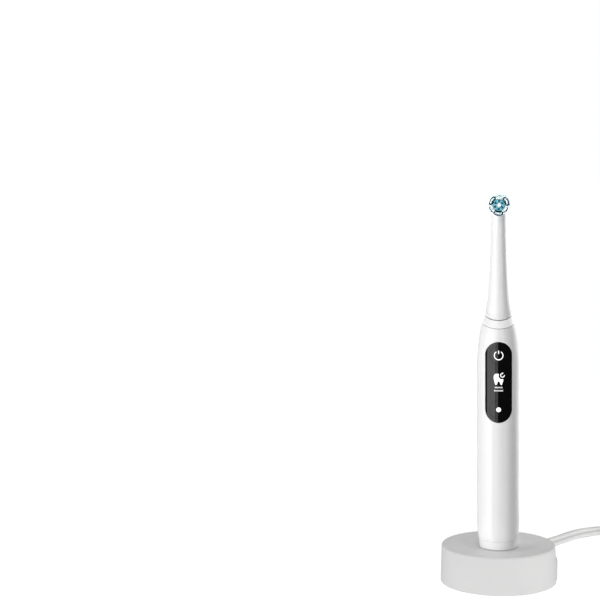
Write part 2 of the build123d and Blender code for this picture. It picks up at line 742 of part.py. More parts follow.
def battery():
    top = BATTERY_Z + BATTERY_LENGTH
    cell = disc(BATTERY_RADIUS, BATTERY_Z, top, 0, BATTERY_Y)
    return cell + disc(BATTERY_STUD_RADIUS, top, top + BATTERY_STUD_HEIGHT, 0, BATTERY_Y)


def motor_can():
    return ring(MOTOR_RADIUS, MOTOR_RADIUS - MOTOR_WALL, MOTOR_Z, MOTOR_Z + MOTOR_LENGTH)


def motor_caps():
    radius = MOTOR_RADIUS - MOTOR_WALL - SEAT_GAP
    bore = SHAFT_RADIUS + SHAFT_GAP
    top = MOTOR_Z + MOTOR_LENGTH
    return [
        ring(radius, bore, MOTOR_Z, MOTOR_Z + MOTOR_CAP),
        ring(radius, bore, top - MOTOR_CAP, top),
    ]


def stator_coil():
    low = MOVER_Z - STATOR_LENGTH / 2
    return ring(MOTOR_RADIUS - MOTOR_WALL - SEAT_GAP, MOVER_RADIUS + MOVE_GAP, low, low + STATOR_LENGTH)


def spring(low, high):
    """Helical spring between two faces, touching neither."""
    start = low + SPRING_WIRE + SEAT_GAP
    height = high - low - 2 * (SPRING_WIRE + SEAT_GAP)
    helix = Helix(height / SPRING_TURNS, height, SPRING_RADIUS, center=(0, 0, start))
    return sweep(Plane(helix @ 0, z_dir=helix % 0) * Circle(SPRING_WIRE), path=helix, is_frenet=True)


def lower_spring():
    return spring(MOTOR_Z + MOTOR_CAP, MOVER_Z - MOVER_LENGTH / 2)


def upper_spring():
    return spring(MOVER_Z + MOVER_LENGTH / 2, MOTOR_Z + MOTOR_LENGTH - MOTOR_CAP)


def drive_shaft():
    return turned(
        (0, MOTOR_Z + STROKE),
        (SHAFT_RADIUS, MOTOR_Z + STROKE),
        (SHAFT_RADIUS, SHAFT_TOP_Z, SHAFT_RADIUS / 3),
        (0, SHAFT_TOP_Z),
    )


def mover_magnet():
    low = MOVER_Z - MOVER_LENGTH / 2
    return ring(MOVER_RADIUS, SHAFT_RADIUS + SEAT_GAP, low, low + MOVER_LENGTH)


def board_ends():
    """Lowest and highest point of the main board."""
    return CHASSIS_Z, POWER_Z + SWITCH_SIZE


def main_board():
    low, high = board_ends()
    return block(BOARD_WIDTH, BOARD_THICKNESS, low, high, 0, (BOARD_BACK_Y + BOARD_FRONT_Y) / 2)


def main_board_parts():
    """Controller, charger chip, radio module, connector and small parts on the board's front."""
    low, high = board_ends()
    places = [
        (CONTROLLER, 0.0, 0.30),
        (CHARGE_CHIP, CHARGE_CHIP_X, 0.16),
        (RADIO_MODULE, 0.0, 0.46),
        (BOARD_PLUG, 0.0, 0.06),
        (CHIP_RESISTOR, -CHIP_RESISTOR_X, 0.22),
        (CHIP_RESISTOR, CHIP_RESISTOR_X, 0.26),
    ]
    parts = []
    for (width, length, height), x, share in places:
        z = low + (high - low) * share
        y = BOARD_FRONT_Y - SEAT_GAP - height / 2
        parts.append(block(width, height, z - length / 2, z + length / 2, x, y))
    return parts


def board_switches():
    switches = []
    for height in (POWER_Z, MODE_Z):
        base_y = BOARD_FRONT_Y - SEAT_GAP
        body = front_prism(Rectangle(SWITCH_SIZE, SWITCH_SIZE), height, base_y, base_y - SWITCH_HEIGHT / 2)
        stem = front_prism(Circle(SWITCH_SIZE / 3), height, base_y - SWITCH_HEIGHT / 2, SWITCH_TOP_Y)
        switches.append(body + stem)
    return switches


def display_module():
    back = BOARD_FRONT_Y - SEAT_GAP
    return front_prism(Rectangle(DISPLAY_WIDTH, DISPLAY_LENGTH), PANEL_Z, back, back - DISPLAY_DEPTH)


def nose_low():
    return NOSE_Z - NOSE_DEPTH


def drive_nose():
    """Core of the handle's top: flange inside the shell and the post that guides the brush head."""
    low = nose_low()
    bore = SHAFT_RADIUS + MOVE_GAP
    bush = BUSH_RADIUS + SEAT_GAP
    bush_low = NOSE_Z - BUSH_LENGTH
    return turned(
        (bore, low),
        (FLANGE_RADIUS, low),
        (FLANGE_RADIUS, low + FLANGE_THICKNESS),
        (NOSE_RADIUS, low + FLANGE_THICKNESS),
        (NOSE_RADIUS, NOSE_Z),
        (POST_TOP_RADIUS, NOSE_Z),
        (POST_TOP_RADIUS, POST_TOP_Z, MOVE_GAP),
        (bush, POST_TOP_Z),
        (bush, bush_low),
        (bore, bush_low),
    )


def shaft_bush():
    low = NOSE_Z - BUSH_LENGTH + SEAT_GAP
    return ring(BUSH_RADIUS, SHAFT_RADIUS + SHAFT_GAP, low, low + BUSH_LENGTH)


def shaft_seal():
    """Rubber wiper above the bush, at the top of the post."""
    low = POST_TOP_Z - SHAFT_SEAL_HEIGHT
    return ring(BUSH_RADIUS, SHAFT_RADIUS + SHAFT_GAP, low, POST_TOP_Z)


def light_ring():
    return turned(
        (NOSE_RADIUS + FIT_GAP, RING_Z + SEAT_GAP),
        (SHOULDER_RADIUS - FIT_GAP, RING_Z + SEAT_GAP),
        (RING_TOP_RADIUS, NOSE_Z, MOVE_GAP),
        (NOSE_RADIUS + FIT_GAP, NOSE_Z),
    )


def light_board():
    """Annular board on the nose's flange with its ring of lights."""
    low = nose_low() + FLANGE_THICKNESS + SEAT_GAP
    high = low + LIGHT_BOARD_THICKNESS
    board = ring(FLANGE_RADIUS, NOSE_RADIUS + FIT_GAP, low, high)
    middle = (FLANGE_RADIUS + NOSE_RADIUS + FIT_GAP) / 2
    width = FLANGE_RADIUS - NOSE_RADIUS - 2 * FIT_GAP
    light = block(width, width, high, high + LIGHT_BOARD_THICKNESS, middle)
    for step in range(LIGHT_COUNT):
        board += Rot(0, 0, 360 / LIGHT_COUNT * step) * light
    return board


def neck_blank():
    """Brush head's turned outside, flared at the foot."""
    flare_z = NOSE_Z + NECK_FLARE_HEIGHT
    top_z = NOSE_Z + NECK_LENGTH
    slope = (NECK_FLARE_RADIUS - NECK_TOP_RADIUS) * 0.7 / (NECK_LENGTH - NECK_FLARE_HEIGHT) * 2
    lower = NECK_FLARE_HEIGHT * 0.62
    upper = (NECK_LENGTH - NECK_FLARE_HEIGHT) / 2
    foot_z = NOSE_Z + SEAT_GAP
    edges = [
        Line((0, 0, foot_z), (NECK_FOOT_RADIUS, 0, foot_z)),
        Bezier(
            (NECK_FOOT_RADIUS, 0, foot_z),
            (NECK_FLARE_RADIUS + slope * lower, 0, flare_z - lower),
            (NECK_FLARE_RADIUS, 0, flare_z),
        ),
        Bezier(
            (NECK_FLARE_RADIUS, 0, flare_z),
            (NECK_FLARE_RADIUS - slope * upper, 0, flare_z + upper),
            (NECK_TOP_RADIUS, 0, top_z),
        ),
        Line((NECK_TOP_RADIUS, 0, top_z), (0, 0, top_z)),
        Line((0, 0, top_z), (0, 0, foot_z)),
    ]
    return revolve(make_face(edges), Axis.Z)


def foot_pocket():
    """Ring-shaped hollow in the foot of the brush head, round its socket."""
    socket_wall = POST_TOP_RADIUS + MOVE_GAP + NECK_WALL
    top_wall = NECK_FOOT_RADIUS - 2 * NECK_WALL
    return turned(
        (socket_wall, NOSE_Z),
        (NECK_FOOT_RADIUS - NECK_WALL, NOSE_Z),
        (top_wall, NOSE_Z + POCKET_DEPTH),
        (socket_wall, NOSE_Z + POCKET_DEPTH),
    )


def head_housing():
    depth = HEAD_BACK + HEAD_FRONT
    drum = front_prism(Circle(HEAD_RADIUS), HEAD_Z, HEAD_BACK, HEAD_BACK - depth)
    return fillet(drum.edges().group_by(Axis.Y)[-1], HEAD_ROUND)


def brush_neck():
    collar_z = NOSE_Z + COLLAR_HEIGHT
    socket = POST_TOP_RADIUS + MOVE_GAP
    stem = neck_blank() - foot_pocket()
    skirt = ring(2 * NECK_FOOT_RADIUS, socket + NECK_WALL, NOSE_Z, collar_z + SEAT_GAP)
    neck = stem - skirt + disc(NECK_TOP_RADIUS, NOSE_Z + NECK_LENGTH - NECK_WALL, HEAD_Z) + head_housing()
    neck -= disc(socket, NOSE_Z, POST_TOP_Z + MOVE_GAP)
    neck -= disc(NECK_BORE, NOSE_Z, HEAD_Z)
    neck -= front_prism(Circle(CARRIER_RADIUS + MOVE_GAP), HEAD_Z, -HEAD_FRONT)
    neck -= front_prism(Circle(HEAD_CAVITY_RADIUS), HEAD_Z, HEAD_CAVITY_BACK, -HEAD_FRONT)
    neck -= front_prism(Circle(AXLE_RADIUS + SEAT_GAP), HEAD_Z, HEAD_BACK - NECK_WALL / 2, -HEAD_FRONT)
    dimple_z = NOSE_Z + DIMPLE_RISE
    surface = (neck_blank() & disc(NECK_FOOT_RADIUS, dimple_z, dimple_z + SEAT_GAP)).bounding_box().max.X
    return neck - Pos(0, -surface - DIMPLE_RADIUS / 2, dimple_z) * Sphere(DIMPLE_RADIUS)


def brush_collar():
    foot = neck_blank() - foot_pocket()
    inner = POST_TOP_RADIUS + MOVE_GAP + NECK_WALL + FIT_GAP
    return foot & ring(2 * NECK_FOOT_RADIUS, inner, NOSE_Z, NOSE_Z + COLLAR_HEIGHT)


def carrier_pin():
    head_end = HEAD_BACK - NECK_WALL / 2 - SEAT_GAP
    return front_prism(Circle(AXLE_RADIUS), HEAD_Z, head_end, CARRIER_BACK_Y - AXLE_TIP)


def rod_foot_z():
    """Underside of the push rod's solid part, just above the drive shaft."""
    return SHAFT_TOP_Z + MOVE_GAP


def push_rod():
    """Rod with a cranked flat end and the crank pin that turns the bristle carrier."""
    arm_z = HEAD_Z - ARM_HEIGHT
    half = ARM_WIDTH / 2
    corners = [
        (-half, arm_z - HEAD_Z),
        (half, arm_z - HEAD_Z),
        (CRANK_OFFSET + half, -half),
        (CRANK_OFFSET + half, half),
        (CRANK_OFFSET - half, half),
        (CRANK_OFFSET - half, -half),
    ]
    outline = make_face(Polyline(*corners, close=True).edges())
    back = ARM_THICKNESS - MOVE_GAP
    arm = front_prism(outline, HEAD_Z, back, -MOVE_GAP)
    pin_end = HUB_BACK_Y - CRANK_REACH
    pin = front_prism(Pos(CRANK_OFFSET, 0) * Circle(CRANK_RADIUS), HEAD_Z, back, pin_end)
    return disc(ROD_RADIUS, rod_foot_z(), arm_z + ARM_WIDTH) + arm + pin


def rod_coupler():
    """Plastic sleeve that clips the push rod onto the drive shaft."""
    high = rod_foot_z() + COUPLER_LENGTH - COUPLER_GRIP
    low = high - COUPLER_LENGTH
    outer = SHAFT_RADIUS + SHAFT_GAP + COUPLER_WALL
    sleeve = disc(outer, low, high) - disc(SHAFT_RADIUS + SHAFT_GAP, low, rod_foot_z())
    return sleeve - disc(ROD_RADIUS + SEAT_GAP, low, high)


def bristle_carrier():
    plate = front_prism(Circle(CARRIER_RADIUS), HEAD_Z, CARRIER_BACK_Y, CARRIER_FRONT_Y)
    plate = fillet(plate.edges(), CARRIER_ROUND)
    hub = front_prism(Circle(HUB_RADIUS), HEAD_Z, HUB_BACK_Y, CARRIER_FRONT_Y + CARRIER_ROUND)
    axle_end = CARRIER_BACK_Y - AXLE_TIP - MOVE_GAP
    bore = front_prism(Circle(AXLE_RADIUS + SHAFT_GAP), HEAD_Z, HUB_BACK_Y, axle_end)
    slot_width = 2 * (CRANK_RADIUS + SHAFT_GAP)
    slot = Pos(CRANK_OFFSET, 0) * SlotOverall(slot_width + 2 * MOVE_GAP, slot_width)
    return plate + hub - bore - front_prism(slot, HEAD_Z, HUB_BACK_Y, HUB_BACK_Y - CRANK_REACH - MOVE_GAP)


def tuft(outline):
    return front_prism(outline, HEAD_Z, CARRIER_FRONT_Y, CARRIER_FRONT_Y - BRISTLE_LENGTH)


def arc_slot(circle, width, span, turn):
    return SlotArc(CenterArc((0, 0), circle, turn - span / 2, span), width)


def loop_turns():
    return [LOOP_TURN + 360 / LOOP_COUNT * step for step in range(LOOP_COUNT)]


def loop_tufts():
    """Three closed loops of stiff bristles near the rim."""
    tufts = []
    for turn in loop_turns():
        outer = arc_slot(LOOP_CIRCLE, LOOP_WIDTH, LOOP_SPAN, turn)
        tufts.append(tuft(outer - arc_slot(LOOP_CIRCLE, LOOP_WIDTH - 2 * LOOP_BAND, LOOP_SPAN, turn)))
    return tufts


def loop_fill_tufts():
    width = LOOP_WIDTH - 2 * LOOP_BAND - 2 * SEAT_GAP
    return [tuft(arc_slot(LOOP_CIRCLE, width, LOOP_SPAN, turn)) for turn in loop_turns()]


def rim_tufts():
    turns = [turn + 180 / LOOP_COUNT for turn in loop_turns()]
    return [tuft(arc_slot(ARC_CIRCLE, ARC_WIDTH, ARC_SPAN, turn)) for turn in turns]


def spots(first_turn):
    """Round tufts on the inner circle."""
    tufts = []
    for step in range(SPOT_COUNT):
        turn = radians(first_turn + 360 / SPOT_COUNT * step)
        place = Pos(SPOT_CIRCLE * cos(turn), SPOT_CIRCLE * sin(turn))
        tufts.append(tuft(place * Circle(SPOT_RADIUS)))
    return tufts


def inner_dark_tufts():
    return spots(180 / SPOT_COUNT)


def inner_blue_tufts():
    return spots(0)


def centre_tuft():
    return tuft(Circle(CENTRE_RADIUS))


def power_button():
    return button(POWER_Z)


def mode_button():
    return button(MODE_Z)


def power_cord():
    return cord_tube("power_cord", CORD_ROUTE)


def power_cord_tail():
    return cord_tube("power_cord_tail", TAIL_ROUTE)


SUB_PARTS = [
    charger_housing, charger_base_plate, charger_bottom_cover, charger_coil, charger_core, charger_magnet,
    charger_board, charger_board_parts, charger_screws, cord_clamp, cable_bush,
    power_cord, power_cord_coil, power_cord_tail, cord_tie, plug_body, plug_relief, plug_pins,
    handle_shell, bottom_cap, bottom_seal, receiver_coil, receiver_core, handle_magnet, chassis, battery,
    main_board, main_board_parts, board_switches, display_module, face_panel, power_button, mode_button,
    motor_can, motor_caps, stator_coil, lower_spring, upper_spring, drive_shaft, mover_magnet,
    drive_nose, shaft_bush, shaft_seal, light_ring, light_board,
    brush_neck, brush_collar, carrier_pin, push_rod, rod_coupler, bristle_carrier,
    loop_tufts, loop_fill_tufts, rim_tufts, inner_dark_tufts, inner_blue_tufts, centre_tuft,
]

os.makedirs("parts", exist_ok=True)
for make in SUB_PARTS:
    made = make()
    solids = made if isinstance(made, list) else [made]
    shape = Compound(children=[solid for item in solids for solid in item.solids()])
    export_step(shape, f"parts/{make.__name__}.step")
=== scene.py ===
import bisect
import json
import math
import random

import bmesh
import bpy
from mathutils import Matrix, Vector
from mathutils.bvhtree import BVHTree


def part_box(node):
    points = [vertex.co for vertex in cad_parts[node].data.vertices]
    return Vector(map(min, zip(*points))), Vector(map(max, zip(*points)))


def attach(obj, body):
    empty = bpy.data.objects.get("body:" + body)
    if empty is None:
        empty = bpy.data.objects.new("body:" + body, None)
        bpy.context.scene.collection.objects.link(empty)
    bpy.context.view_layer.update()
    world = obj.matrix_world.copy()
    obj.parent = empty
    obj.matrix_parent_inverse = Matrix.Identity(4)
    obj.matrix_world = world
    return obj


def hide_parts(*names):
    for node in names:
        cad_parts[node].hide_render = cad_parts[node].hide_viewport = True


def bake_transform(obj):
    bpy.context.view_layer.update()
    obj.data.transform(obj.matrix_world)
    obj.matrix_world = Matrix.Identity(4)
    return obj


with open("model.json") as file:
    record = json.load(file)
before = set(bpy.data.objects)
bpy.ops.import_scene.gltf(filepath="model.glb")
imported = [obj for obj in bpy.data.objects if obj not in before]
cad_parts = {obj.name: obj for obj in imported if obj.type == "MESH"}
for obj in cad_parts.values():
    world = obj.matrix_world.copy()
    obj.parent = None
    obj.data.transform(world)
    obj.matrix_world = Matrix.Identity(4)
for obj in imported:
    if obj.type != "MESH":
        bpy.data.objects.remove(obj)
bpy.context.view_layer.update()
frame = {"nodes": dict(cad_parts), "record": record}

# Electric toothbrush standing on its charger. Metres, +Z up, bristles and dark panel facing -Y.

MM = 0.001
BODY_OF = {node: body for body, nodes in frame["record"]["behaviour"]["bodies"].items() for node in nodes}
SLOT_OF = {part["node"]: part["material_slot"] for part in frame["record"]["subparts"]}

# Camera: where it stands, how it is turned, and its picture 600 pixels wide
CAMERA_PLACE = (-0.0069, -1.03, 0.2827)
CAMERA_PAN = 6.777
CAMERA_TILT = -5.371
CAMERA_ROLL = -0.602
CAMERA_FOCUS = 1587.7
PICTURE_WIDTH = 600
SENSOR_WIDTH = 36.0

# Mains lead: flat twin cord, its web as a share of its thickness, its route over the floor, its way to the
# plug, and its coil with the turns over which it changes lane or layer
CORD_WIDTH = 7.2 * MM
CORD_THICKNESS = 3.6 * MM
CORD_WEB = 0.5
CORD_SECTION_STEPS = 12
CORD_ROUTE = [
    (0.0098, 0.0367, 0.0056),
    (0.0163, 0.0609, 0.0056),
    (0.0275, 0.0760, 0.0047),
    (0.0401, 0.0925, 0.0035),
    (0.0577, 0.1198, 0.0034),
    (0.0834, 0.1351, 0.0031),
    (0.1120, 0.1431, 0.0026),
]
CORD_ROLL = [0.0, 0.0, 25.0, 55.0, 55.0, 35.0, 12.0]
TAIL_ROUTE = [
    (0.1669, 0.0814, 0.0086),
    (0.1657, 0.0670, 0.00685),
    (0.1657, 0.0530, 0.00685),
]
COIL_CENTRE = (0.1255, 0.0958)
COIL_START = 74.0
COIL_TURNS = 4 + COIL_START / 360
COIL_OUTER = 41.7 * MM
COIL_INNER = 34.3 * MM
COIL_LAYERS = (2.6 * MM, 6.3 * MM, 10.0 * MM)
COIL_LANE_IN = (0.62, 0.92)
COIL_LANE_OUT = (2.6, 2.9)
COIL_SECOND_LAYER = (1.6, 1.9)
COIL_THIRD_LAYER = (3.6, 3.9)
POINTS_PER_TURN = 16

# Panel and its signs, whose outlines are in millimetres from the sign's own middle
PANEL_LOW, PANEL_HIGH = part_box("face_panel")
PANEL_GAP = 0.15 * MM
SHELL_SKIN = 11.5 * MM
EDGE_MARGIN = 0.04 * MM
PRINT_PROUD = 0.03 * MM
PRINT_FROM = -0.1
TOOTH_OUTLINE = [
    (-1.3, 3.85), (-2.7, 3.3), (-3.35, 1.6), (-3.1, -0.6), (-2.6, -2.6), (-1.9, -3.85), (-1.15, -3.2),
    (-0.65, -1.9), (0.0, -1.35), (0.65, -1.9), (1.15, -3.2), (1.9, -3.85), (2.6, -2.6), (3.05, -0.9),
    (3.1, 0.05), (1.6, 0.1), (0.45, 1.0), (-0.05, 2.2), (0.05, 3.5),
]
TOOTH_SCALE = 0.94 * MM
TOOTH_LIFT = 2.2 * MM
ARROW_PLACE = (2.45, 0.0, 2.6)
ARROW_RING = (0.95 * MM, 1.5 * MM)
ARROW_ARC = (105.0, 365.0)
ARROW_HEAD = [(-0.3, 1.95), (-0.3, 0.5), (0.6, 1.22)]
POWER_RING = (2.45 * MM, 3.05 * MM)
POWER_ARC = (122.0, 418.0)
POWER_BAR = (0.62 * MM, 2.1 * MM)
POWER_BAR_LIFT = 2.1 * MM
MODE_DOT = (0.02 * MM, 1.55 * MM)
TICK_ROWS = ((-5.3, 7), (-7.4, 8))
TICK_PITCH = 0.72
TICK_SIZE = (0.4 * MM, 0.8 * MM)

# Roundings of the handle's, collar's and plug's edges
FOOT_SEAM_ROUND = 0.26 * MM
SHELL_TOP_ROUND = 0.15 * MM
PANEL_LINE_ROUND = 0.42 * MM
PANEL_ROUND = 1.1 * MM
KEY_ROUND = 0.12 * MM
RING_ROUND = 0.3 * MM
COLLAR_FOOT_ROUND = 0.12 * MM
COLLAR_TOP_ROUND = 0.14 * MM
PLUG_ROUND = 0.8 * MM
TIE_ROUND = 0.3 * MM

# Seams round the light ring, and the steps in which the outside is measured there
SEAM_WAVE = 1.1 * MM
SEAM_LIFT = 0.9 * MM
SEAM_FADE = 6.0 * MM
SEAM_INNER = 7.0 * MM
SEAM_GROOVE = 0.45 * MM
# Thickness of the dark ring of painted shade in the seam at the foot of the light ring
SEAM_SHADE_THICKNESS = 0.25 * MM
PROFILE_STEP = 0.2 * MM
PROFILE_COUNT = 200
OUTSIDE = 30.0 * MM

# Brush head; where its forms begin and end is in head radii from its middle
HEAD_STARTS = -1.35
TAPER_STARTS = -0.2
SQUARE_ENDS = 0.4
HEAD_BACK = 4.2 * MM
HEAD_FRONT = 3.6 * MM
HEAD_ROUND = 2.2 * MM
HEAD_CAVITY = 5.3 * MM
HEAD_CAVITY_BACK = 1.9 * MM
CARRIER_ROOM = 0.3 * MM
NECK_BORE = 2.9 * MM
SOCKET_RADIUS = 3.9 * MM
SOCKET_ROOM = 0.3 * MM
CUT_PAST = 2.0 * MM
NECK_FOOT_LIFT = 0.06 * MM
NECK_FOOT_ROUND = 0.14 * MM
STEM_COUNT = 70
HEAD_COUNT = 44
HEAD_BLEND = 1.8 * MM
ROUND_SECTION = 2.0
HEAD_SQUARENESS = 1.6

# Tufts, in millimetres from the head's middle, seen from the front
CENTRE_RADIUS = 1.25
FIELD_INNER = 1.45
FIELD_OUTER = 3.5
LOOP_TURNS = (26.3, 146.3, 266.3)
LOOP_CIRCLE = 5.15
LOOP_SPAN = 34.5
LOOP_HALF_WIDTH = 1.28
LOOP_BAND = 0.76
RIM_INNER = 3.75
RIM_OUTER = 6.35
ARC_CIRCLE = 5.5
ARC_SPAN = 34.0
ARC_HALF_WIDTH = 0.32
SPOT_COUNT = 6
SPOT_CIRCLE = 2.45
SPOT_RADIUS = 0.62
TUFT_GAP = 0.16
HEAD_REACH = 6.85
PLANTED_REACH = 7.0
FILAMENT_PITCH = 0.23
FILAMENT_RADIUS = 0.114 * MM
FILAMENT_DOME = 0.016
ROOT_DEPTH = 0.2 * MM
ROOT_STRAY = 0.025
TIP_STRAY = 0.05
TRIM_STRAY = 0.16
TUFT_LEAN = {
    "centre_tuft": 0.0, "inner_blue_tufts": 0.02, "inner_dark_tufts": 0.02, "rim_tufts": 0.06,
    "loop_tufts": 0.05, "loop_fill_tufts": 0.05,
}
TUFT_TRIM = {
    "centre_tuft": 0.3, "inner_blue_tufts": 0.5, "inner_dark_tufts": 0.55, "rim_tufts": 0.3,
    "loop_tufts": 0.05, "loop_fill_tufts": 0.15,
}

# Plug: the boot's ribs, each a row of steps with its share of the full section, and the finger ribs on top
BOOT_RIBS = 9
BOOT_END_WIDTH = 8.9 * MM
BOOT_END_THICKNESS = 5.4 * MM
BOOT_GAP = 0.02
RIB_SHARES = (0.9, 0.985, 1.0, 1.0, 0.985, 0.9, 0.87)
GRIP_COUNT = 3
GRIP_SIZE = (15.0 * MM, 2.2 * MM, 1.5 * MM)
GRIP_START = 5.5 * MM
GRIP_PITCH = 4.2 * MM
GRIP_ROUND = 0.5 * MM

# Stage and light; each wash has its turn from the front and its watts
FLOOR_RADIUS = 6.0
FLOOR_GLOW = 0.9
SURROUND_LIGHT = 0.18
SURROUND_MIRRORED = 0.07
SURROUND_SEEN = 1.0
BRUSH_AIM = (0.0, 0.0, 0.13)
CHARGER_AIM = (0.0, 0.0, 0.012)
HEAD_AIM = (0.0, -0.016, 0.247)
LEAD_AIM = (0.11, 0.135, 0.0)
PIN_AIM = (0.166, 0.03, 0.007)
WASHES = (
    ("left wash", -90, 3.45), ("front wash", 0, 3.85), ("right wash", 90, 3.85), ("back wash", 180, 3.85),
)


# Scene helpers


def ease(value, start, end):
    """0 before start, 1 after end and a smooth step between them."""
    share = min(1.0, max(0.0, (value - start) / (end - start)))
    return share * share * (3 - 2 * share)


def shade_by_angle(mesh, degrees):
    mesh.shade_smooth()
    mesh.set_sharp_from_angle(angle=math.radians(degrees))


def middle_height(node):
    low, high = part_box(node)
    return (low.z + high.z) / 2


def settle(obj, node, finish=None, nodes=None):
    """Gives a finished piece its material, by default the finish of its node's slot, puts it on the node's
    body and hides the nodes that it stands for.
    """
    obj.data.materials.clear()
    obj.data.materials.append(finish or FINISHES[SLOT_OF[node]])
    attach(obj, BODY_OF[node])
    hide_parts(*([node] if nodes is None else nodes))
    return obj


def link(name, mesh):
    obj = bpy.data.objects.new(name, mesh)
    bpy.context.scene.collection.objects.link(obj)
    return obj


def mesh_of(bm, name):
    mesh = bpy.data.meshes.new(name)
    bm.to_mesh(mesh)
    bm.free()
    return mesh


def close_up(bm):
    """Fills the open ends of a skin and turns its faces outwards."""
    bmesh.ops.holes_fill(bm, edges=[edge for edge in bm.edges if edge.is_boundary], sides=0)
    bmesh.ops.recalc_face_normals(bm, faces=bm.faces)


def baked(obj):
    """Mesh of an object with its curve or modifiers worked out."""
    return bpy.data.meshes.new_from_object(obj.evaluated_get(bpy.context.evaluated_depsgraph_get()))


def upright(place):
    """Turn that stands a flat shape up at a place, facing the front."""
    return Matrix.Translation(place) @ Matrix.Rotation(math.radians(90), 4, "X")


def merged_copy(node):
    """A bmesh with the node's shape, its loose triangles joined."""
    bm = bmesh.new()
    bm.from_mesh(frame["nodes"][node].data)
    bmesh.ops.remove_doubles(bm, verts=bm.verts, dist=1e-6)
    return bm


def soften(bm, width, wanted):
    """Rounds the sharp edges that the test picks."""
    edges = [edge for edge in bm.edges if edge.calc_face_angle(0.0) > math.radians(20) and wanted(edge)]
    bmesh.ops.bevel(
        bm, geom=edges, offset=width, offset_type="OFFSET", affect="EDGES", segments=3,
        profile=0.5, material=-1, clamp_overlap=True,
    )


def finished(name, mesh, sharp=32.0):
    """Object whose flat and round faces are each shaded as one."""
    shade_by_angle(mesh, sharp)
    obj = link(name, mesh)
    weighted = obj.modifiers.new("face weights", "WEIGHTED_NORMAL")
    weighted.keep_sharp = True
    weighted.weight = 80
    return obj


def dressed(name, node, rounds=(), shaping=None):
    """Smooth piece with the shape of a node, its edges rounded and its form shaped where asked."""
    bm = merged_copy(node)
    for width, wanted in rounds:
        soften(bm, width, wanted)
    if shaping:
        shaping(bm)
    return settle(finished(name, mesh_of(bm, name)), node)


def rim_at(height, least_radius, margin=0.03 * MM):
    """Test for the edges of a turned piece at one height and outside a radius."""
    def on_rim(edge):
        return all(
            abs(vert.co.z - height) < margin and math.hypot(vert.co.x, vert.co.y) > least_radius
            for vert in edge.verts
        )
    return on_rim


def faces_front(edge):
    """Test for edges that bound a face looking to the front."""
    return any(face.normal.y < -0.5 for face in edge.link_faces)


def every_edge(edge):
    """Test that picks all edges."""
    return True


# Materials


class Finish:
    """A surface finish: one shader whose colour, roughness and relief come from textures."""

    def __init__(self, name, colour, roughness, **sockets):
        self.material = bpy.data.materials.new(name)
        self.material.use_nodes = True
        self.tree = self.material.node_tree
        self.shader = self.tree.nodes["Principled BSDF"]
        self.shader.inputs["Base Color"].default_value = (*colour, 1.0)
        self.shader.inputs["Roughness"].default_value = roughness
        for socket, value in sockets.items():
            self.shader.inputs[socket.replace("_", " ")].default_value = value
        self.colour = colour
        self.roughness = roughness
        self.place = self.tree.nodes.new("ShaderNodeTexCoord").outputs["Object"]

    def node(self, kind, **values):
        made = self.tree.nodes.new(kind)
        for name, value in values.items():
            setattr(made, name, value)
        return made

    def join(self, source, target):
        self.tree.links.new(source, target)

    def stretched(self, scale):
        """The piece's own coordinates, stretched."""
        mapping = self.node("ShaderNodeMapping")
        mapping.inputs["Scale"].default_value = scale
        self.join(self.place, mapping.inputs["Vector"])
        return mapping.outputs["Vector"]

    def noise(self, scale, detail=2.0, vector=None):
        texture = self.node("ShaderNodeTexNoise")
        texture.inputs["Scale"].default_value = scale
        texture.inputs["Detail"].default_value = detail
        self.join(vector or self.place, texture.inputs["Vector"])
        return texture.outputs["Fac"]

    def ranged(self, value, low, high, start=0.3, end=0.7):
        made = self.node("ShaderNodeMapRange")
        made.inputs["From Min"].default_value = start
        made.inputs["From Max"].default_value = end
        made.inputs["To Min"].default_value = low
        made.inputs["To Max"].default_value = high
        self.join(value, made.inputs["Value"])
        return made.outputs["Result"]

    def blend(self, share, first, second):
        """Colour between two colours or sockets."""
        mix = self.node("ShaderNodeMix", data_type="RGBA")
        self.join(share, mix.inputs["Factor"])
        for socket, value in ((mix.inputs[6], first), (mix.inputs[7], second)):
            if isinstance(value, tuple):
                socket.default_value = (*value, 1.0)
            else:
                self.join(value, socket)
        return mix.outputs[2]

    def along(self, axis):
        """The piece's own coordinate along one axis."""
        split = self.node("ShaderNodeSeparateXYZ")
        self.join(self.place, split.inputs["Vector"])
        return split.outputs[axis]

    def glow(self, strength):
        self.shader.inputs["Emission Color"].default_value = (1.0, 1.0, 1.0, 1.0)
        self.shader.inputs["Emission Strength"].default_value = strength
        return self

    def mottle(self, scale, amount):
        """Slow, faint change of the base colour."""
        darker = tuple(channel * (1 - amount) for channel in self.colour)
        self.tint(self.blend(self.ranged(self.noise(scale), 0.0, 1.0), self.colour, darker))
        return self

    def tint(self, socket):
        self.join(socket, self.shader.inputs["Base Color"])
        return self

    def gloss(self, scale, amount):
        """Roughness that changes by the amount about its mean."""
        wanted = self.ranged(self.noise(scale, 3.0), self.roughness - amount, self.roughness + amount)
        self.join(wanted, self.shader.inputs["Roughness"])
        return self

    def relief(self, height, strength, depth):
        bump = self.node("ShaderNodeBump")
        bump.inputs["Strength"].default_value = strength
        bump.inputs["Distance"].default_value = depth
        self.join(height, bump.inputs["Height"])
        self.join(bump.outputs["Normal"], self.shader.inputs["Normal"])
        return self

    def grain(self, scale, strength=0.25, depth=0.02 * MM):
        return self.relief(self.noise(scale, 3.0), strength, depth)


def moulded(name, colour, roughness, grain=240.0, strength=0.1, **sockets):
    """Moulded plastic: faint mottle, uneven gloss and a slightly wavy skin from the tool."""
    finish = Finish(name, colour, roughness, **sockets)
    finish.mottle(70.0, 0.02).gloss(420.0, 0.05).grain(grain, strength)
    return finish.material


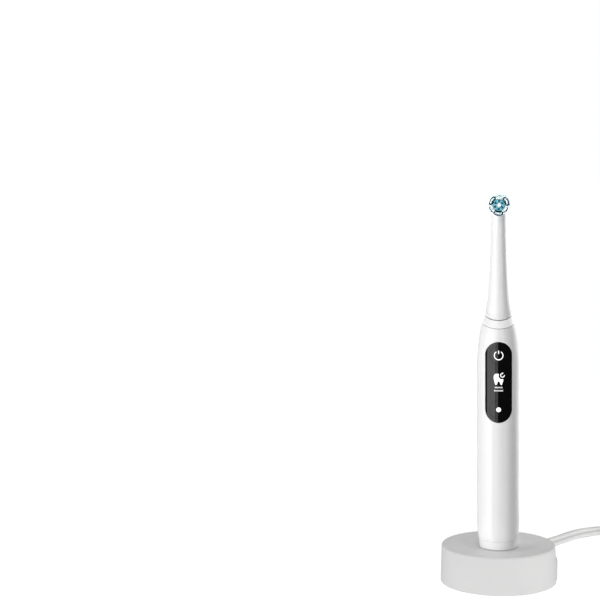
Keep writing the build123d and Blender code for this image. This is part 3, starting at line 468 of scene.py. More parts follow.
def wound_wire(name, colour, pitch):
    """Enamelled copper wire, laid turn beside turn, with painted shade in the grooves between the turns."""
    finish = Finish(name, colour, 0.32, Metallic=1.0)
    wave = finish.node("ShaderNodeTexWave", wave_type="BANDS", bands_direction="Z")
    wave.inputs["Scale"].default_value = math.pi / (10 * pitch)
    wave.inputs["Distortion"].default_value = 0.4
    finish.join(finish.place, wave.inputs["Vector"])
    # The darker bands are painted shade in the grooves between the turns.
    dark = tuple(channel * 0.45 for channel in colour)
    finish.tint(finish.blend(wave.outputs["Fac"], dark, colour))
    finish.gloss(900.0, 0.08).relief(wave.outputs["Fac"], 0.6, 0.08 * MM)
    return finish.material


def drawn_metal(name, colour, roughness, along=(2500.0, 2500.0, 90.0)):
    """Metal with fine drawing or grinding marks along one way."""
    finish = Finish(name, colour, roughness, Metallic=1.0)
    marks = finish.noise(1.0, 3.0, finish.stretched(along))
    darker = tuple(channel * 0.86 for channel in colour)
    finish.tint(finish.blend(finish.ranged(marks, 0.0, 1.0), colour, darker))
    finish.join(finish.ranged(marks, roughness - 0.07, roughness + 0.07), finish.shader.inputs["Roughness"])
    finish.relief(marks, 0.15, 0.01 * MM)
    return finish.material


def circuit_board(name):
    """Green resist over copper tracks, with bare tinned spots."""
    finish = Finish(name, (0.02, 0.16, 0.06), 0.42)
    tracks = finish.node("ShaderNodeTexBrick")
    tracks.inputs["Scale"].default_value = 260.0
    tracks.inputs["Mortar Size"].default_value = 0.035
    for socket, level in (("Color1", 0.0), ("Color2", 0.25), ("Mortar", 1.0)):
        tracks.inputs[socket].default_value = (level, level, level, 1.0)
    finish.join(finish.place, tracks.inputs["Vector"])
    laid = finish.blend(tracks.outputs["Color"], finish.colour, (0.06, 0.36, 0.14))
    dots = finish.node("ShaderNodeTexVoronoi")
    dots.inputs["Scale"].default_value = 330.0
    finish.join(finish.place, dots.inputs["Vector"])
    tinned = finish.ranged(dots.outputs["Distance"], 1.0, 0.0, 0.16, 0.2)
    finish.tint(finish.blend(tinned, laid, (0.62, 0.6, 0.55)))
    finish.gloss(500.0, 0.06).relief(tracks.outputs["Color"], 0.3, 0.03 * MM)
    return finish.material


def sintered(name, colour, roughness, **sockets):
    """Pressed powder: dark grey or bronze with fine pits."""
    finish = Finish(name, colour, roughness, **sockets)
    finish.mottle(900.0, 0.25).gloss(700.0, 0.08).grain(2800.0, 0.5, 0.04 * MM)
    return finish.material


def cell_wrap(name):
    """Shrink-wrapped cell: green film with a pale band at the stud end."""
    finish = Finish(name, (0.03, 0.17, 0.07), 0.3)
    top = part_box("battery")[1].z
    banded = finish.ranged(finish.along("Z"), 0.0, 1.0, top - 9.0 * MM, top - 8.6 * MM)
    finish.tint(finish.blend(banded, finish.colour, (0.5, 0.5, 0.48)))
    finish.gloss(160.0, 0.08).grain(420.0, 0.15, 0.05 * MM)
    return finish.material


def nylon(name, root, tip):
    """Bristle filaments that change colour from root to tip, with paler specks."""
    finish = Finish(name, root, 0.42, Specular_IOR_Level=0.1)
    low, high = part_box("centre_tuft")
    near_tip = finish.ranged(finish.along("Y"), 1.0, 0.0, low.y, high.y - 2.0 * MM)
    shade = finish.blend(near_tip, root, tip)
    speckle = finish.ranged(finish.noise(3000.0), 0.0, 0.35)
    paler = tuple(min(1.0, channel * 1.25 + 0.02) for channel in tip)
    finish.tint(finish.blend(speckle, shade, paler))
    finish.gloss(1500.0, 0.08)
    return finish.material


def milky(name):
    """Milky light guide with a faint glow."""
    finish = Finish(name, (0.46, 0.46, 0.46), 0.32, Specular_IOR_Level=0.25)
    finish.glow(0.42).mottle(140.0, 0.03).gloss(300.0, 0.04).grain(300.0, 0.05)
    return finish.material


def polished_black(name):
    """Polished black plastic with the faintest haze."""
    finish = Finish(name, (0.002, 0.002, 0.0022), 0.07, Specular_IOR_Level=0.31)
    haze = finish.ranged(finish.noise(260.0, 4.0), 0.0, 1.0)
    finish.tint(finish.blend(haze, (0.0014, 0.0014, 0.0016), (0.003, 0.003, 0.0033)))
    finish.gloss(300.0, 0.02).grain(120.0, 0.02)
    return finish.material


def printed_white(name):
    """Lit white print on the dark panel."""
    finish = Finish(name, (0.85, 0.86, 0.87), 0.4)
    finish.glow(0.55).mottle(1500.0, 0.05).gloss(1500.0, 0.05)
    return finish.material


def cord_sheath(name):
    """Soft satin sheath with a faint mottle."""
    finish = Finish(name, (0.77, 0.77, 0.765), 0.46)
    finish.mottle(45.0, 0.05).gloss(260.0, 0.06).grain(320.0, 0.15)
    return finish.material


FINISHES = {
    "charger_white": moulded("charger white", (0.76, 0.76, 0.757), 0.46, 300.0, 0.1, Specular_IOR_Level=0.2),
    "handle_white": moulded("handle white", (0.87, 0.87, 0.87), 0.34, 200.0, 0.05, Specular_IOR_Level=0.32),
    "brush_white": moulded("brush white", (0.87, 0.87, 0.868), 0.34, 200.0, 0.05, Specular_IOR_Level=0.32),
    "panel_black": polished_black("panel black"),
    "light_diffuser": milky("milky light guide"),
    "copper": wound_wire("copper wire", (0.66, 0.33, 0.16), 0.3 * MM),
    "ferrite": sintered("ferrite", (0.035, 0.035, 0.038), 0.6),
    "magnet": drawn_metal("nickel magnet", (0.62, 0.61, 0.59), 0.28),
    "steel": drawn_metal("drawn steel", (0.52, 0.52, 0.53), 0.3),
    "battery_wrap": cell_wrap("cell wrap"),
    "board_green": circuit_board("circuit board"),
    "chip_black": moulded("component black", (0.02, 0.02, 0.021), 0.5),
    "chassis_grey": moulded("chassis grey", (0.18, 0.185, 0.19), 0.5),
    "display_glass": moulded("display glass", (0.012, 0.012, 0.016), 0.12, 200.0, 0.03),
    "seal_rubber": moulded("seal rubber", (0.02, 0.02, 0.022), 0.62, 600.0, 0.3),
    "cord_grey": cord_sheath("cord sheath"),
    "plug_grey": moulded("plug grey", (0.68, 0.68, 0.675), 0.48, 320.0, 0.2),
    "tie_grey": moulded("tie grey", (0.05, 0.05, 0.053), 0.45, 500.0, 0.2),
    "pin_metal": drawn_metal("pin nickel", (0.66, 0.65, 0.62), 0.24, (2500.0, 120.0, 2500.0)),
    "bronze": sintered("bush bronze", (0.42, 0.27, 0.12), 0.4, Metallic=1.0),
    "carrier_cyan": moulded("carrier cyan", (0.62, 0.89, 0.95), 0.35, 300.0, 0.08),
    "bristle_teal": nylon("teal nylon", (0.003, 0.055, 0.085), (0.003, 0.05, 0.075)),
    "bristle_white": nylon("white nylon", (0.75, 0.93, 0.97), (0.82, 0.97, 0.99)),
    "bristle_cyan": nylon("cyan nylon", (0.72, 0.95, 0.985), (0.82, 0.985, 1.0)),
    "bristle_navy": nylon("navy nylon", (0.008, 0.09, 0.14), (0.008, 0.08, 0.125)),
    "bristle_blue": nylon("blue nylon", (0.15, 0.45, 0.58), (0.17, 0.47, 0.59)),
}
PRINT_WHITE = printed_white("print white")


def paint_nodes():
    """Every node carried over as it is gets the finish of its slot."""
    for node, obj in frame["nodes"].items():
        obj.data.materials.clear()
        obj.data.materials.append(FINISHES[SLOT_OF[node]])


# Mains lead


def coil_points():
    """Control points of the coil: two lanes side by side, three layers high, wound clockwise."""
    count = round(POINTS_PER_TURN * COIL_TURNS)
    first, second, third = COIL_LAYERS
    points = []
    for step in range(count + 1):
        turn = COIL_TURNS * step / count
        angle = math.radians(COIL_START - 360 * turn)
        inward = ease(turn, *COIL_LANE_IN) - ease(turn, *COIL_LANE_OUT)
        radius = COIL_OUTER + (COIL_INNER - COIL_OUTER) * inward
        height = first + (second - first) * ease(turn, *COIL_SECOND_LAYER)
        height += (third - second) * ease(turn, *COIL_THIRD_LAYER)
        points.append((
            COIL_CENTRE[0] + radius * math.cos(angle),
            COIL_CENTRE[1] + radius * math.sin(angle),
            height,
        ))
    return points


def nurbs_line(name, points, rolls=()):
    """Smooth open curve whose control points are the given ones, rolled about its run where asked."""
    curve = bpy.data.curves.new(name, "CURVE")
    curve.dimensions = "3D"
    curve.twist_mode = "Z_UP"
    spline = curve.splines.new("NURBS")
    spline.points.add(len(points) - 1)
    for point, place in zip(spline.points, points):
        point.co = (*place, 1.0)
    for point, roll in zip(spline.points, rolls):
        point.tilt = math.radians(roll)
    spline.order_u = 3
    spline.use_endpoint_u = True
    spline.resolution_u = 8
    return curve


def twin_section(name):
    """Figure-of-eight outline of the flat twin cord: two round cores with a web between them."""
    curve = bpy.data.curves.new(name, "CURVE")
    curve.dimensions = "2D"
    core = CORD_THICKNESS / 2
    centre = CORD_WIDTH / 2 - core
    meet = math.asin(CORD_WEB)
    spline = curve.splines.new("POLY")
    outline = []
    for side in (1, -1):
        for step in range(CORD_SECTION_STEPS + 1):
            angle = -math.pi + meet + (2 * math.pi - 2 * meet) * step / CORD_SECTION_STEPS
            outline.append((side * (centre + core * math.cos(angle)), side * core * math.sin(angle)))
    spline.points.add(len(outline) - 1)
    for point, (x, y) in zip(spline.points, outline):
        point.co = (x, y, 0.0, 1.0)
    spline.use_cyclic_u = True
    return curve


def mesh_from_curve(curve, name):
    holder = link(name, curve)
    bpy.context.view_layer.update()
    mesh = baked(holder)
    bpy.data.objects.remove(holder)
    return mesh


def mains_lead():
    """Twin cord from the charger through its coil to the plug, and the line that it follows."""
    points = CORD_ROUTE + coil_points() + TAIL_ROUTE
    line = mesh_from_curve(nurbs_line("lead line", points), "lead line")
    path = [tuple(vertex.co) for vertex in line.vertices]
    curve = nurbs_line("lead", points, CORD_ROLL)
    section = link("lead section", twin_section("lead section"))
    curve.bevel_mode = "OBJECT"
    curve.bevel_object = section
    curve.use_fill_caps = True
    mesh = mesh_from_curve(curve, "mains_lead")
    bpy.data.objects.remove(section)
    bm = bmesh.new()
    bm.from_mesh(mesh)
    bmesh.ops.remove_doubles(bm, verts=bm.verts, dist=1e-7)
    bmesh.ops.recalc_face_normals(bm, faces=bm.faces)
    bm.to_mesh(mesh)
    bm.free()
    mesh.name = "mains_lead"
    shade_by_angle(mesh, 50.0)
    obj = link("mains_lead", mesh)
    settle(obj, "power_cord", nodes=["power_cord", "power_cord_coil", "power_cord_tail"])
    return obj, path


# Charger and handle


def panel_distance(place):
    """How far outside the panel's oblong outline a point lies, seen from the front."""
    half_width = (PANEL_HIGH.x - PANEL_LOW.x) / 2
    middle = (PANEL_HIGH.z + PANEL_LOW.z) / 2
    straight = (PANEL_HIGH.z - PANEL_LOW.z) / 2 - half_width
    along = max(0.0, abs(place.z - middle) - straight)
    return math.hypot(place.x, along) - half_width


def outer_panel_edge(edge):
    """Test for the panel's own outer edge."""
    return faces_front(edge) and all(abs(panel_distance(vert.co)) < EDGE_MARGIN for vert in edge.verts)


def in_panel_line(edge):
    """Test for the shell's outer edge round the dark panel."""
    on_skin = any(
        face.normal.xy.length > 0.8 and face.normal.xy.dot(face.calc_center_median().xy) > SHELL_SKIN
        for face in edge.link_faces
    )
    return on_skin and all(
        vert.co.y < 0 and abs(panel_distance(vert.co) - PANEL_GAP) < EDGE_MARGIN for vert in edge.verts
    )


def skin_of(*nodes):
    """Tree for finding where a ray meets the given nodes."""
    bm = bmesh.new()
    for node in nodes:
        bm.from_mesh(frame["nodes"][node].data)
    tree = BVHTree.FromBMesh(bm)
    bm.free()
    return tree


def outside_profile():
    """Heights and radii of the handle, light ring and neck, found from the right."""
    tree = skin_of("handle_shell", "light_ring", "brush_collar", "brush_neck")
    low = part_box("light_ring")[0].z - 2 * SEAM_FADE
    profile = []
    for step in range(PROFILE_COUNT):
        height = low + step * PROFILE_STEP
        hit = tree.ray_cast(Vector((OUTSIDE, 0.0, height)), Vector((-1.0, 0.0, 0.0)))[0]
        if hit and hit.x > SEAM_INNER / 2:
            profile.append((height, hit.x))
    return profile


def outside_radius(profile, height):
    """Radius at a height, between the two nearest that were measured."""
    place = bisect.bisect(profile, (height, 0.0))
    (low, inner), (high, outer) = profile[place - 1:place + 1]
    return inner + (outer - inner) * (height - low) / (high - low)


def wave_seams(bm):
    """Dips the seams round the light ring at the front and back and lifts them at the sides."""
    ring_low, ring_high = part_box("light_ring")
    profile = outside_profile()
    for vert in bm.verts:
        height = vert.co.z
        reach = math.hypot(vert.co.x, vert.co.y)
        near = ease(height, ring_low.z - SEAM_FADE, ring_low.z)
        near *= 1 - ease(height, ring_high.z + 0.5 * SEAM_FADE, ring_high.z + 2 * SEAM_FADE)
        if near == 0.0 or reach < SEAM_INNER:
            continue
        outer = outside_radius(profile, height)
        near *= ease(reach, SEAM_INNER, 0.97 * outer)
        lift = SEAM_LIFT * (1 - ease(height, ring_low.z, ring_high.z))
        front = (vert.co.y ** 2 - vert.co.x ** 2) / reach ** 2
        moved = height + near * (lift - SEAM_WAVE * front)
        scale = 1 + (outside_radius(profile, moved) / outer - 1) * near
        vert.co = (vert.co.x * scale, vert.co.y * scale, moved)


def charger_pieces():
    return [
        dressed("charger_shell", "charger_housing"),
        dressed("charger_floor", "charger_base_plate"),
        dressed("charger_cover", "charger_bottom_cover"),
        dressed("outlet_bush", "cable_bush"),
    ]


def handle_pieces():
    ring_low, ring_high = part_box("light_ring")
    shell_low, shell_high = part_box("handle_shell")
    seam = shell_low.z
    seam_radius = 0.93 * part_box("bottom_cap")[1].x
    ring_radius = 0.95 * ring_high.x
    dressed(
        "handle_body", "handle_shell",
        rounds=[
            (FOOT_SEAM_ROUND, rim_at(seam, seam_radius)),
            (SHELL_TOP_ROUND, rim_at(shell_high.z, ring_radius)),
            (PANEL_LINE_ROUND, in_panel_line),
        ],
        shaping=wave_seams,
    )
    dressed("handle_foot", "bottom_cap", [(FOOT_SEAM_ROUND, rim_at(seam, seam_radius, 0.12 * MM))])
    dressed("handle_nose", "drive_nose")
    dressed("ring_light", "light_ring", [(RING_ROUND, rim_at(ring_low.z, ring_radius))], wave_seams)
    dressed("front_panel", "face_panel", [(PANEL_ROUND, outer_panel_edge)])
    dressed("power_key_cap", "power_button", [(KEY_ROUND, faces_front)])
    dressed("mode_key_cap", "mode_button", [(KEY_ROUND, faces_front)])
    dressed("shaft", "drive_shaft")


def drive_springs():
    """Smooth copies of the springs on both sides of the mover, fixed where they stand."""
    for node in ("lower_spring", "upper_spring"):
        name = node.replace("spring", "coil_spring")
        obj = finished(name, mesh_of(merged_copy(node), name))
        obj.data.materials.append(FINISHES[SLOT_OF[node]])
        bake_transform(obj)
        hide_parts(node)


# Signs on the dark panel, thin raised print that follows the curved face


def band(bm, centre, inner, outer, first, last, steps):
    """Flat ring sector facing the front, its angles counted from the right."""
    turn = math.radians(first)
    heading = Vector((math.cos(turn), 0.0, math.sin(turn)))
    cuts = 3
    radii = [inner + (outer - inner) * step / cuts for step in range(cuts + 1)]
    verts = [bm.verts.new(centre + heading * radius) for radius in radii]
    edges = [bm.edges.new(pair) for pair in zip(verts, verts[1:])]
    bmesh.ops.spin(
        bm, geom=verts + edges, cent=centre, axis=(0.0, -1.0, 0.0), angle=math.radians(last - first),
        steps=steps, use_merge=False,
    )


def bar(bm, centre, width, height, cuts=6):
    """Flat upright bar facing the front."""
    place = upright(centre) @ Matrix.Diagonal((width / 2, height / 2, 1.0, 1.0))
    bmesh.ops.create_grid(bm, x_segments=cuts, y_segments=cuts, size=1.0, matrix=place)


def outline_fill(bm, centre, points, bend="AUTO"):
    """Flat shape facing the front, filled inside a closed line through the points."""
    curve = bpy.data.curves.new("outline", "CURVE")
    curve.dimensions = "2D"
    curve.fill_mode = "BOTH"
    spline = curve.splines.new("BEZIER")
    spline.bezier_points.add(len(points) - 1)
    for point, (x, z) in zip(spline.bezier_points, points):
        point.co = (x, z, 0.0)
        point.handle_left_type = bend
        point.handle_right_type = bend
    spline.use_cyclic_u = True
    spline.resolution_u = 6
    mesh = mesh_from_curve(curve, "outline")
    before = set(bm.verts)
    bm.from_mesh(mesh)
    fresh = [vert for vert in bm.verts if vert not in before]
    bmesh.ops.transform(bm, matrix=upright(centre), verts=fresh)
    edges = list({edge for vert in fresh for edge in vert.link_edges})
    bmesh.ops.subdivide_edges(bm, edges=edges, cuts=3, use_grid_fill=True)


def print_on(name, node, bm):
    """Lays flat shapes on a node's front face and gives them the print's thickness."""
    skin = skin_of(node)
    for vert in bm.verts:
        hit = skin.ray_cast(Vector((vert.co.x, PRINT_FROM, vert.co.z)), Vector((0.0, 1.0, 0.0)))[0]
        vert.co.y = hit.y - PRINT_PROUD
    bmesh.ops.remove_doubles(bm, verts=bm.verts, dist=1e-6)
    bm.normal_update()
    bmesh.ops.reverse_faces(bm, faces=[face for face in bm.faces if face.normal.y > 0])
    bmesh.ops.solidify(bm, geom=bm.faces[:], thickness=2 * PRINT_PROUD)
    obj = link(name, mesh_of(bm, name))
    shade_by_angle(obj.data, 40.0)
    settle(obj, node, PRINT_WHITE, [])


def power_sign():
    bm = bmesh.new()
    middle = Vector((0.0, 0.0, middle_height("power_button")))
    band(bm, middle, *POWER_RING, *POWER_ARC, 48)
    bar(bm, middle + Vector((0.0, 0.0, POWER_BAR_LIFT)), *POWER_BAR)
    print_on("power_sign", "power_button", bm)


def mode_sign():
    bm = bmesh.new()
    band(bm, Vector((0.0, 0.0, middle_height("mode_button"))), *MODE_DOT, 0.0, 360.0, 36)
    print_on("mode_sign", "mode_button", bm)


def timer_signs():
    """Tooth with a round arrow, and two rows of ticks under it."""
    bm = bmesh.new()
    tooth = Vector((0.0, 0.0, middle_height("face_panel") + TOOTH_LIFT))
    arrow = tooth + Vector(ARROW_PLACE) * MM
    outline_fill(bm, tooth, [(x * TOOTH_SCALE, z * TOOTH_SCALE) for x, z in TOOTH_OUTLINE])
    band(bm, arrow, *ARROW_RING, *ARROW_ARC, 36)
    outline_fill(bm, arrow, [(x * MM, z * MM) for x, z in ARROW_HEAD], "VECTOR")
    for row, count in TICK_ROWS:
        for tick in range(count):
            place = Vector(((tick - (count - 1) / 2) * TICK_PITCH, 0.0, row)) * MM
            bar(bm, tooth + place, *TICK_SIZE, 2)
    print_on("timer_signs", "face_panel", bm)


def signs():
    power_sign()
    mode_sign()
    timer_signs()


# Brush head


def neck_radius(tree, height):
    """Radius of the turned neck at a height, found from behind."""
    hit = tree.ray_cast(Vector((0.0, OUTSIDE, height)), Vector((0.0, -1.0, 0.0)))[0]
    return hit.y


def smooth_max(first, second, blend):
    """Larger of two values, rounded over where they are close."""
    share = max(0.0, blend - abs(first - second)) / blend
    return max(first, second) + share * share * blend / 4


def round_level(height, radius):
    return (height, radius, radius, radius, ROUND_SECTION)


def stem_levels(tree, stem_end):
    """Round sections of the neck from its foot to where the head begins."""
    foot_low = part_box("brush_neck")[0].z
    collar_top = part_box("brush_collar")[1].z
    foot = collar_top + NECK_FOOT_LIFT
    inner = neck_radius(tree, foot_low + 0.5 * MM)
    levels = [round_level(height, inner) for height in (foot_low, collar_top - 0.3 * MM, foot)]
    levels.append(round_level(foot, neck_radius(tree, foot + 0.3 * MM) - NECK_FOOT_ROUND))
    for step in range(STEM_COUNT + 1):
        height = foot + NECK_FOOT_ROUND + (stem_end - foot - NECK_FOOT_ROUND) * step / STEM_COUNT
        levels.append(round_level(height, neck_radius(tree, height)))
    return levels


def neck_levels(tree):
    """Half width, front reach, back reach and squareness of the neck's section at each height."""
    centre = middle_height("bristle_carrier")
    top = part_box("brush_neck")[1].z
    head_radius = top - centre
    stem_end = centre + HEAD_STARTS * head_radius
    stem = neck_radius(tree, stem_end)
    levels = stem_levels(tree, stem_end)
    for step in range(1, HEAD_COUNT + 1):
        share = math.sin(math.pi / 2 * step / HEAD_COUNT)
        height = stem_end + (top - 0.02 * MM - stem_end) * share
        from_centre = height - centre
        disc = math.sqrt(max(0.0, head_radius ** 2 - from_centre ** 2))
        taper = stem * (1 - ease(height, centre + TAPER_STARTS * head_radius, centre + head_radius))
        width = smooth_max(disc, taper, HEAD_BLEND) if from_centre < 0 else disc
        turned_in = ease(height, stem_end, centre)
        back = stem + (HEAD_BACK - stem) * turned_in
        front = stem + (HEAD_FRONT + 0.1 * MM - stem) * turned_in
        crown = height - (top - HEAD_ROUND)
        if crown > 0:
            back += math.sqrt(max(0.0, HEAD_ROUND ** 2 - crown ** 2)) - HEAD_ROUND
        squared = ease(height, stem_end, centre + SQUARE_ENDS * head_radius)
        levels.append((height, width, front, back, ROUND_SECTION + HEAD_SQUARENESS * squared))
    return levels


def loft(levels):
    """Closed skin through sections that are rounded squares or circles."""
    bm = bmesh.new()
    turn = bm.verts.layers.float.new("turn")
    bmesh.ops.create_circle(bm, segments=80, radius=1.0)
    for vert in bm.verts:
        vert[turn] = math.atan2(vert.co.y, vert.co.x)
    verts = list(bm.verts)
    edges = list(bm.edges)
    for number, (height, width, front, back, squareness) in enumerate(levels):
        if number:
            made = bmesh.ops.extrude_edge_only(bm, edges=edges)["geom"]
            verts = [item for item in made if isinstance(item, bmesh.types.BMVert)]
            edges = [edge for edge in made if isinstance(edge, bmesh.types.BMEdge)]
            edges = [edge for edge in edges if all(vert in verts for vert in edge.verts)]
        for vert in verts:
            across = math.cos(vert[turn])
            along = math.sin(vert[turn])
            x = math.copysign(abs(across) ** (2 / squareness), across) * width
            y = math.copysign(abs(along) ** (2 / squareness), along)
            vert.co = (x, y * (back if y > 0 else front), height)
    close_up(bm)
    return bm


def round_tool(axis_place, radius, start, end, along="Z"):
    """Closed round bar for cutting, between two places on its axis."""
    bm = bmesh.new()
    place = Matrix.Translation(axis_place)
    middle = (start + end) / 2
    if along == "Z":
        place @= Matrix.Translation((0.0, 0.0, middle))
    else:
        place @= upright((0.0, middle, 0.0))
    bmesh.ops.create_cone(
        bm, cap_ends=True, segments=96, radius1=radius, radius2=radius, depth=abs(end - start),
        matrix=place,
    )
    return mesh_of(bm, "tool")


def carved(name, blank, tools):
    """Mesh of a blank with each tool's room taken out of it."""
    holder = link(name, blank)
    cutters = []
    for tool in tools:
        cutter = link("cutter", tool)
        cutters.append(cutter)
        cut = holder.modifiers.new("cut", "BOOLEAN")
        cut.operation = "DIFFERENCE"
        cut.solver = "EXACT"
        cut.object = cutter
    mesh = baked(holder)
    for obj in cutters + [holder]:
        bpy.data.objects.remove(obj)
    mesh.name = name
    return mesh


def neck():
    """Slim hollow neck that widens smoothly into the head's drum."""
    bm = merged_copy("brush_neck")
    tree = BVHTree.FromBMesh(bm)
    bm.free()
    carrier_low, carrier_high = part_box("bristle_carrier")
    carrier_radius = (carrier_high.x - carrier_low.x) / 2
    centre = middle_height("bristle_carrier")
    axis = (0.0, 0.0, centre)
    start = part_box("brush_neck")[0].z - CUT_PAST
    post_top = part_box("drive_nose")[1].z
    tools = [
        round_tool(axis, carrier_radius + CARRIER_ROOM, -HEAD_FRONT, -HEAD_FRONT - 0.02, "Y"),
        round_tool(axis, HEAD_CAVITY, HEAD_CAVITY_BACK, -HEAD_FRONT - CUT_PAST, "Y"),
        round_tool((0.0, 0.0, 0.0), NECK_BORE, start, centre),
        round_tool((0.0, 0.0, 0.0), SOCKET_RADIUS, start, post_top + SOCKET_ROOM),
    ]
    blank = loft(neck_levels(tree))
    wave_seams(blank)
    mesh = carved("neck", mesh_of(blank, "neck blank"), tools)
    settle(finished("neck", mesh, 38.0), "brush_neck")


def collar():
    """Collar whose foot stops short of the light ring, so that a groove runs round between them."""
    low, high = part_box("brush_collar")
    bm = merged_copy("brush_collar")
    for vert in bm.verts:
        if vert.co.z < low.z + 0.01 * MM and math.hypot(vert.co.x, vert.co.y) > SEAM_INNER:
            vert.co.z += SEAM_GROOVE
    soften(bm, COLLAR_FOOT_ROUND, rim_at(low.z + SEAM_GROOVE, 0.9 * high.x))
    soften(bm, COLLAR_TOP_ROUND, rim_at(high.z, 0.9 * high.x))
    wave_seams(bm)
    settle(finished("neck_collar", mesh_of(bm, "neck_collar")), "brush_collar")


def seam_shade_ring(name, radius, height, thickness):
    """Thin dark ring in a seam of the turned outside, painted shade where the real seam is an open gap."""
    bm = bmesh.new()
    place = upright((radius - thickness, 0.0, height))
    bmesh.ops.create_circle(bm, segments=12, radius=thickness, matrix=place)
    bmesh.ops.spin(
        bm, geom=bm.verts[:] + bm.edges[:], cent=(0.0, 0.0, 0.0), axis=(0.0, 0.0, 1.0),
        angle=math.tau, steps=128, use_merge=True,
    )
    bmesh.ops.remove_doubles(bm, verts=bm.verts, dist=1e-7)
    bmesh.ops.recalc_face_normals(bm, faces=bm.faces)
    wave_seams(bm)
    obj = link(name, mesh_of(bm, name))
    obj.data.shade_smooth()
    obj.data.materials.append(FINISHES["seal_rubber"])
    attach(obj, BODY_OF["light_ring"])


# Dark rings in the seams above and below the light ring, painted shade where the real seams are open gaps.
def seam_shades():
    collar_low, collar_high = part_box("brush_collar")
    ring_low, ring_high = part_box("light_ring")
    seam_shade_ring("collar_seam_shade", collar_high.x - 0.2 * MM, collar_low.z + SEAM_GROOVE / 2, 0.62 * SEAM_GROOVE)
    seam_shade_ring("ring_seam_shade", ring_high.x, ring_low.z, SEAM_SHADE_THICKNESS)


# Bristles


def slot_distance(x, z, circle, span, turn):
    """Distance of a point from an arc about the head's centre."""
    angle = (math.degrees(math.atan2(z, x)) - turn + 180) % 360 - 180
    reach = math.hypot(x, z)
    if abs(angle) <= span / 2:
        return abs(reach - circle)
    end = math.radians(turn + math.copysign(span / 2, angle))
    return math.hypot(x - circle * math.cos(end), z - circle * math.sin(end))


def tuft_of(x, z):
    """Name of the tuft group that a filament at a place in millimetres belongs to, if any."""
    reach = math.hypot(x, z)
    if reach < CENTRE_RADIUS:
        return "centre_tuft"
    away = min(slot_distance(x, z, LOOP_CIRCLE, LOOP_SPAN, turn) for turn in LOOP_TURNS) - LOOP_HALF_WIDTH
    if away < -LOOP_BAND:
        return "loop_fill_tufts"
    if away < 0:
        return "loop_tufts"
    if FIELD_INNER < reach < FIELD_OUTER:
        return field_tuft(x, z)
    from_arc = min(slot_distance(x, z, ARC_CIRCLE, ARC_SPAN, turn + 60) for turn in LOOP_TURNS)
    if RIM_INNER < reach < RIM_OUTER and away > TUFT_GAP and from_arc > ARC_HALF_WIDTH:
        return "rim_tufts"
    return None


def field_tuft(x, z):
    """Dark spots set in a paler blue field."""
    for spot in range(SPOT_COUNT):
        turn = math.radians(LOOP_TURNS[0]) + math.tau * spot / SPOT_COUNT
        away = math.hypot(x - SPOT_CIRCLE * math.cos(turn), z - SPOT_CIRCLE * math.sin(turn))
        if away < SPOT_RADIUS:
            return "inner_dark_tufts"
        if away < SPOT_RADIUS + TUFT_GAP / 2:
            return None
    return "inner_blue_tufts"


def filament():
    """Mesh of one bristle, a unit long: a slim five-sided stem with a rounded end."""
    bm = bmesh.new()
    straight = 1.0 - FILAMENT_DOME
    bmesh.ops.create_cone(
        bm, cap_ends=False, segments=5, radius1=FILAMENT_RADIUS, radius2=FILAMENT_RADIUS, depth=straight,
        matrix=Matrix.Translation((0.0, 0.0, straight / 2)),
    )
    bmesh.ops.create_cone(
        bm, cap_ends=True, segments=5, radius1=FILAMENT_RADIUS, radius2=0.75 * FILAMENT_RADIUS,
        depth=FILAMENT_DOME, matrix=Matrix.Translation((0.0, 0.0, 1.0 - FILAMENT_DOME / 2)),
    )
    bmesh.ops.remove_doubles(bm, verts=bm.verts, dist=1e-6)
    return mesh_of(bm, "filament")


def plant(bm, stem, root, tip):
    """Adds a bristle from its root to its tip."""
    along = tip - root
    place = Matrix.Translation(root) @ along.to_track_quat("Z", "Y").to_matrix().to_4x4()
    place @= Matrix.Diagonal((1.0, 1.0, along.length, 1.0))
    stem.transform(place)
    bm.from_mesh(stem)
    stem.transform(place.inverted())


def stray(most):
    return random.uniform(-most, most)


def planted():
    """Filament places on a slightly uneven grid, in millimetres from the head's middle, by tuft group."""
    groups = {}
    row_pitch = FILAMENT_PITCH * math.sqrt(0.75)
    rows = int(PLANTED_REACH / row_pitch) + 1
    for row in range(-rows, rows + 1):
        for column in range(-rows - 4, rows + 5):
            x = (column + 0.5 * (row % 2)) * FILAMENT_PITCH + stray(ROOT_STRAY)
            z = row * row_pitch + stray(ROOT_STRAY)
            node = tuft_of(x, z)
            if node:
                groups.setdefault(node, []).append((x, z))
    return groups


def bristles():
    centre = middle_height("bristle_carrier")
    root_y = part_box("bristle_carrier")[0].y + ROOT_DEPTH
    tips_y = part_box("centre_tuft")[0].y
    stem = filament()
    for node, places in planted().items():
        bm = bmesh.new()
        for x, z in places:
            trim = random.uniform(0.0, TRIM_STRAY) + TUFT_TRIM[node]
            spread = min(1 + TUFT_LEAN[node], HEAD_REACH / max(math.hypot(x, z), 0.1))
            tip = Vector((
                (x * spread + stray(TIP_STRAY)) * MM,
                tips_y + trim * MM,
                centre + (z * spread + stray(TIP_STRAY)) * MM,
            ))
            plant(bm, stem, Vector((x * MM, root_y, centre + z * MM)), tip)
        name = node.replace("tufts", "bristles").replace("tuft", "bristles")
        obj = link(name, mesh_of(bm, name))
        shade_by_angle(obj.data, 60.0)
        settle(obj, node)


def brush_head_pieces():
    neck()
    collar()
    seam_shades()
    dressed("bristle_plate", "bristle_carrier")
    bristles()


# Plug


def oval_ring(bm, place, width, thickness):
    """Loop of an oblong section across the lead's end."""
    made = bmesh.ops.create_circle(bm, segments=40, radius=1.0, matrix=Matrix.Identity(4))
    core = thickness / 2
    shift = width / 2 - core
    for vert in made["verts"]:
        side = math.copysign(1.0, vert.co.x) if abs(vert.co.x) > 1e-6 else 0.0
        vert.co = (vert.co.x * core + side * shift, vert.co.y * core, 0.0)
    bmesh.ops.transform(bm, matrix=upright(place), verts=made["verts"])
    return list({edge for vert in made["verts"] for edge in vert.link_edges})


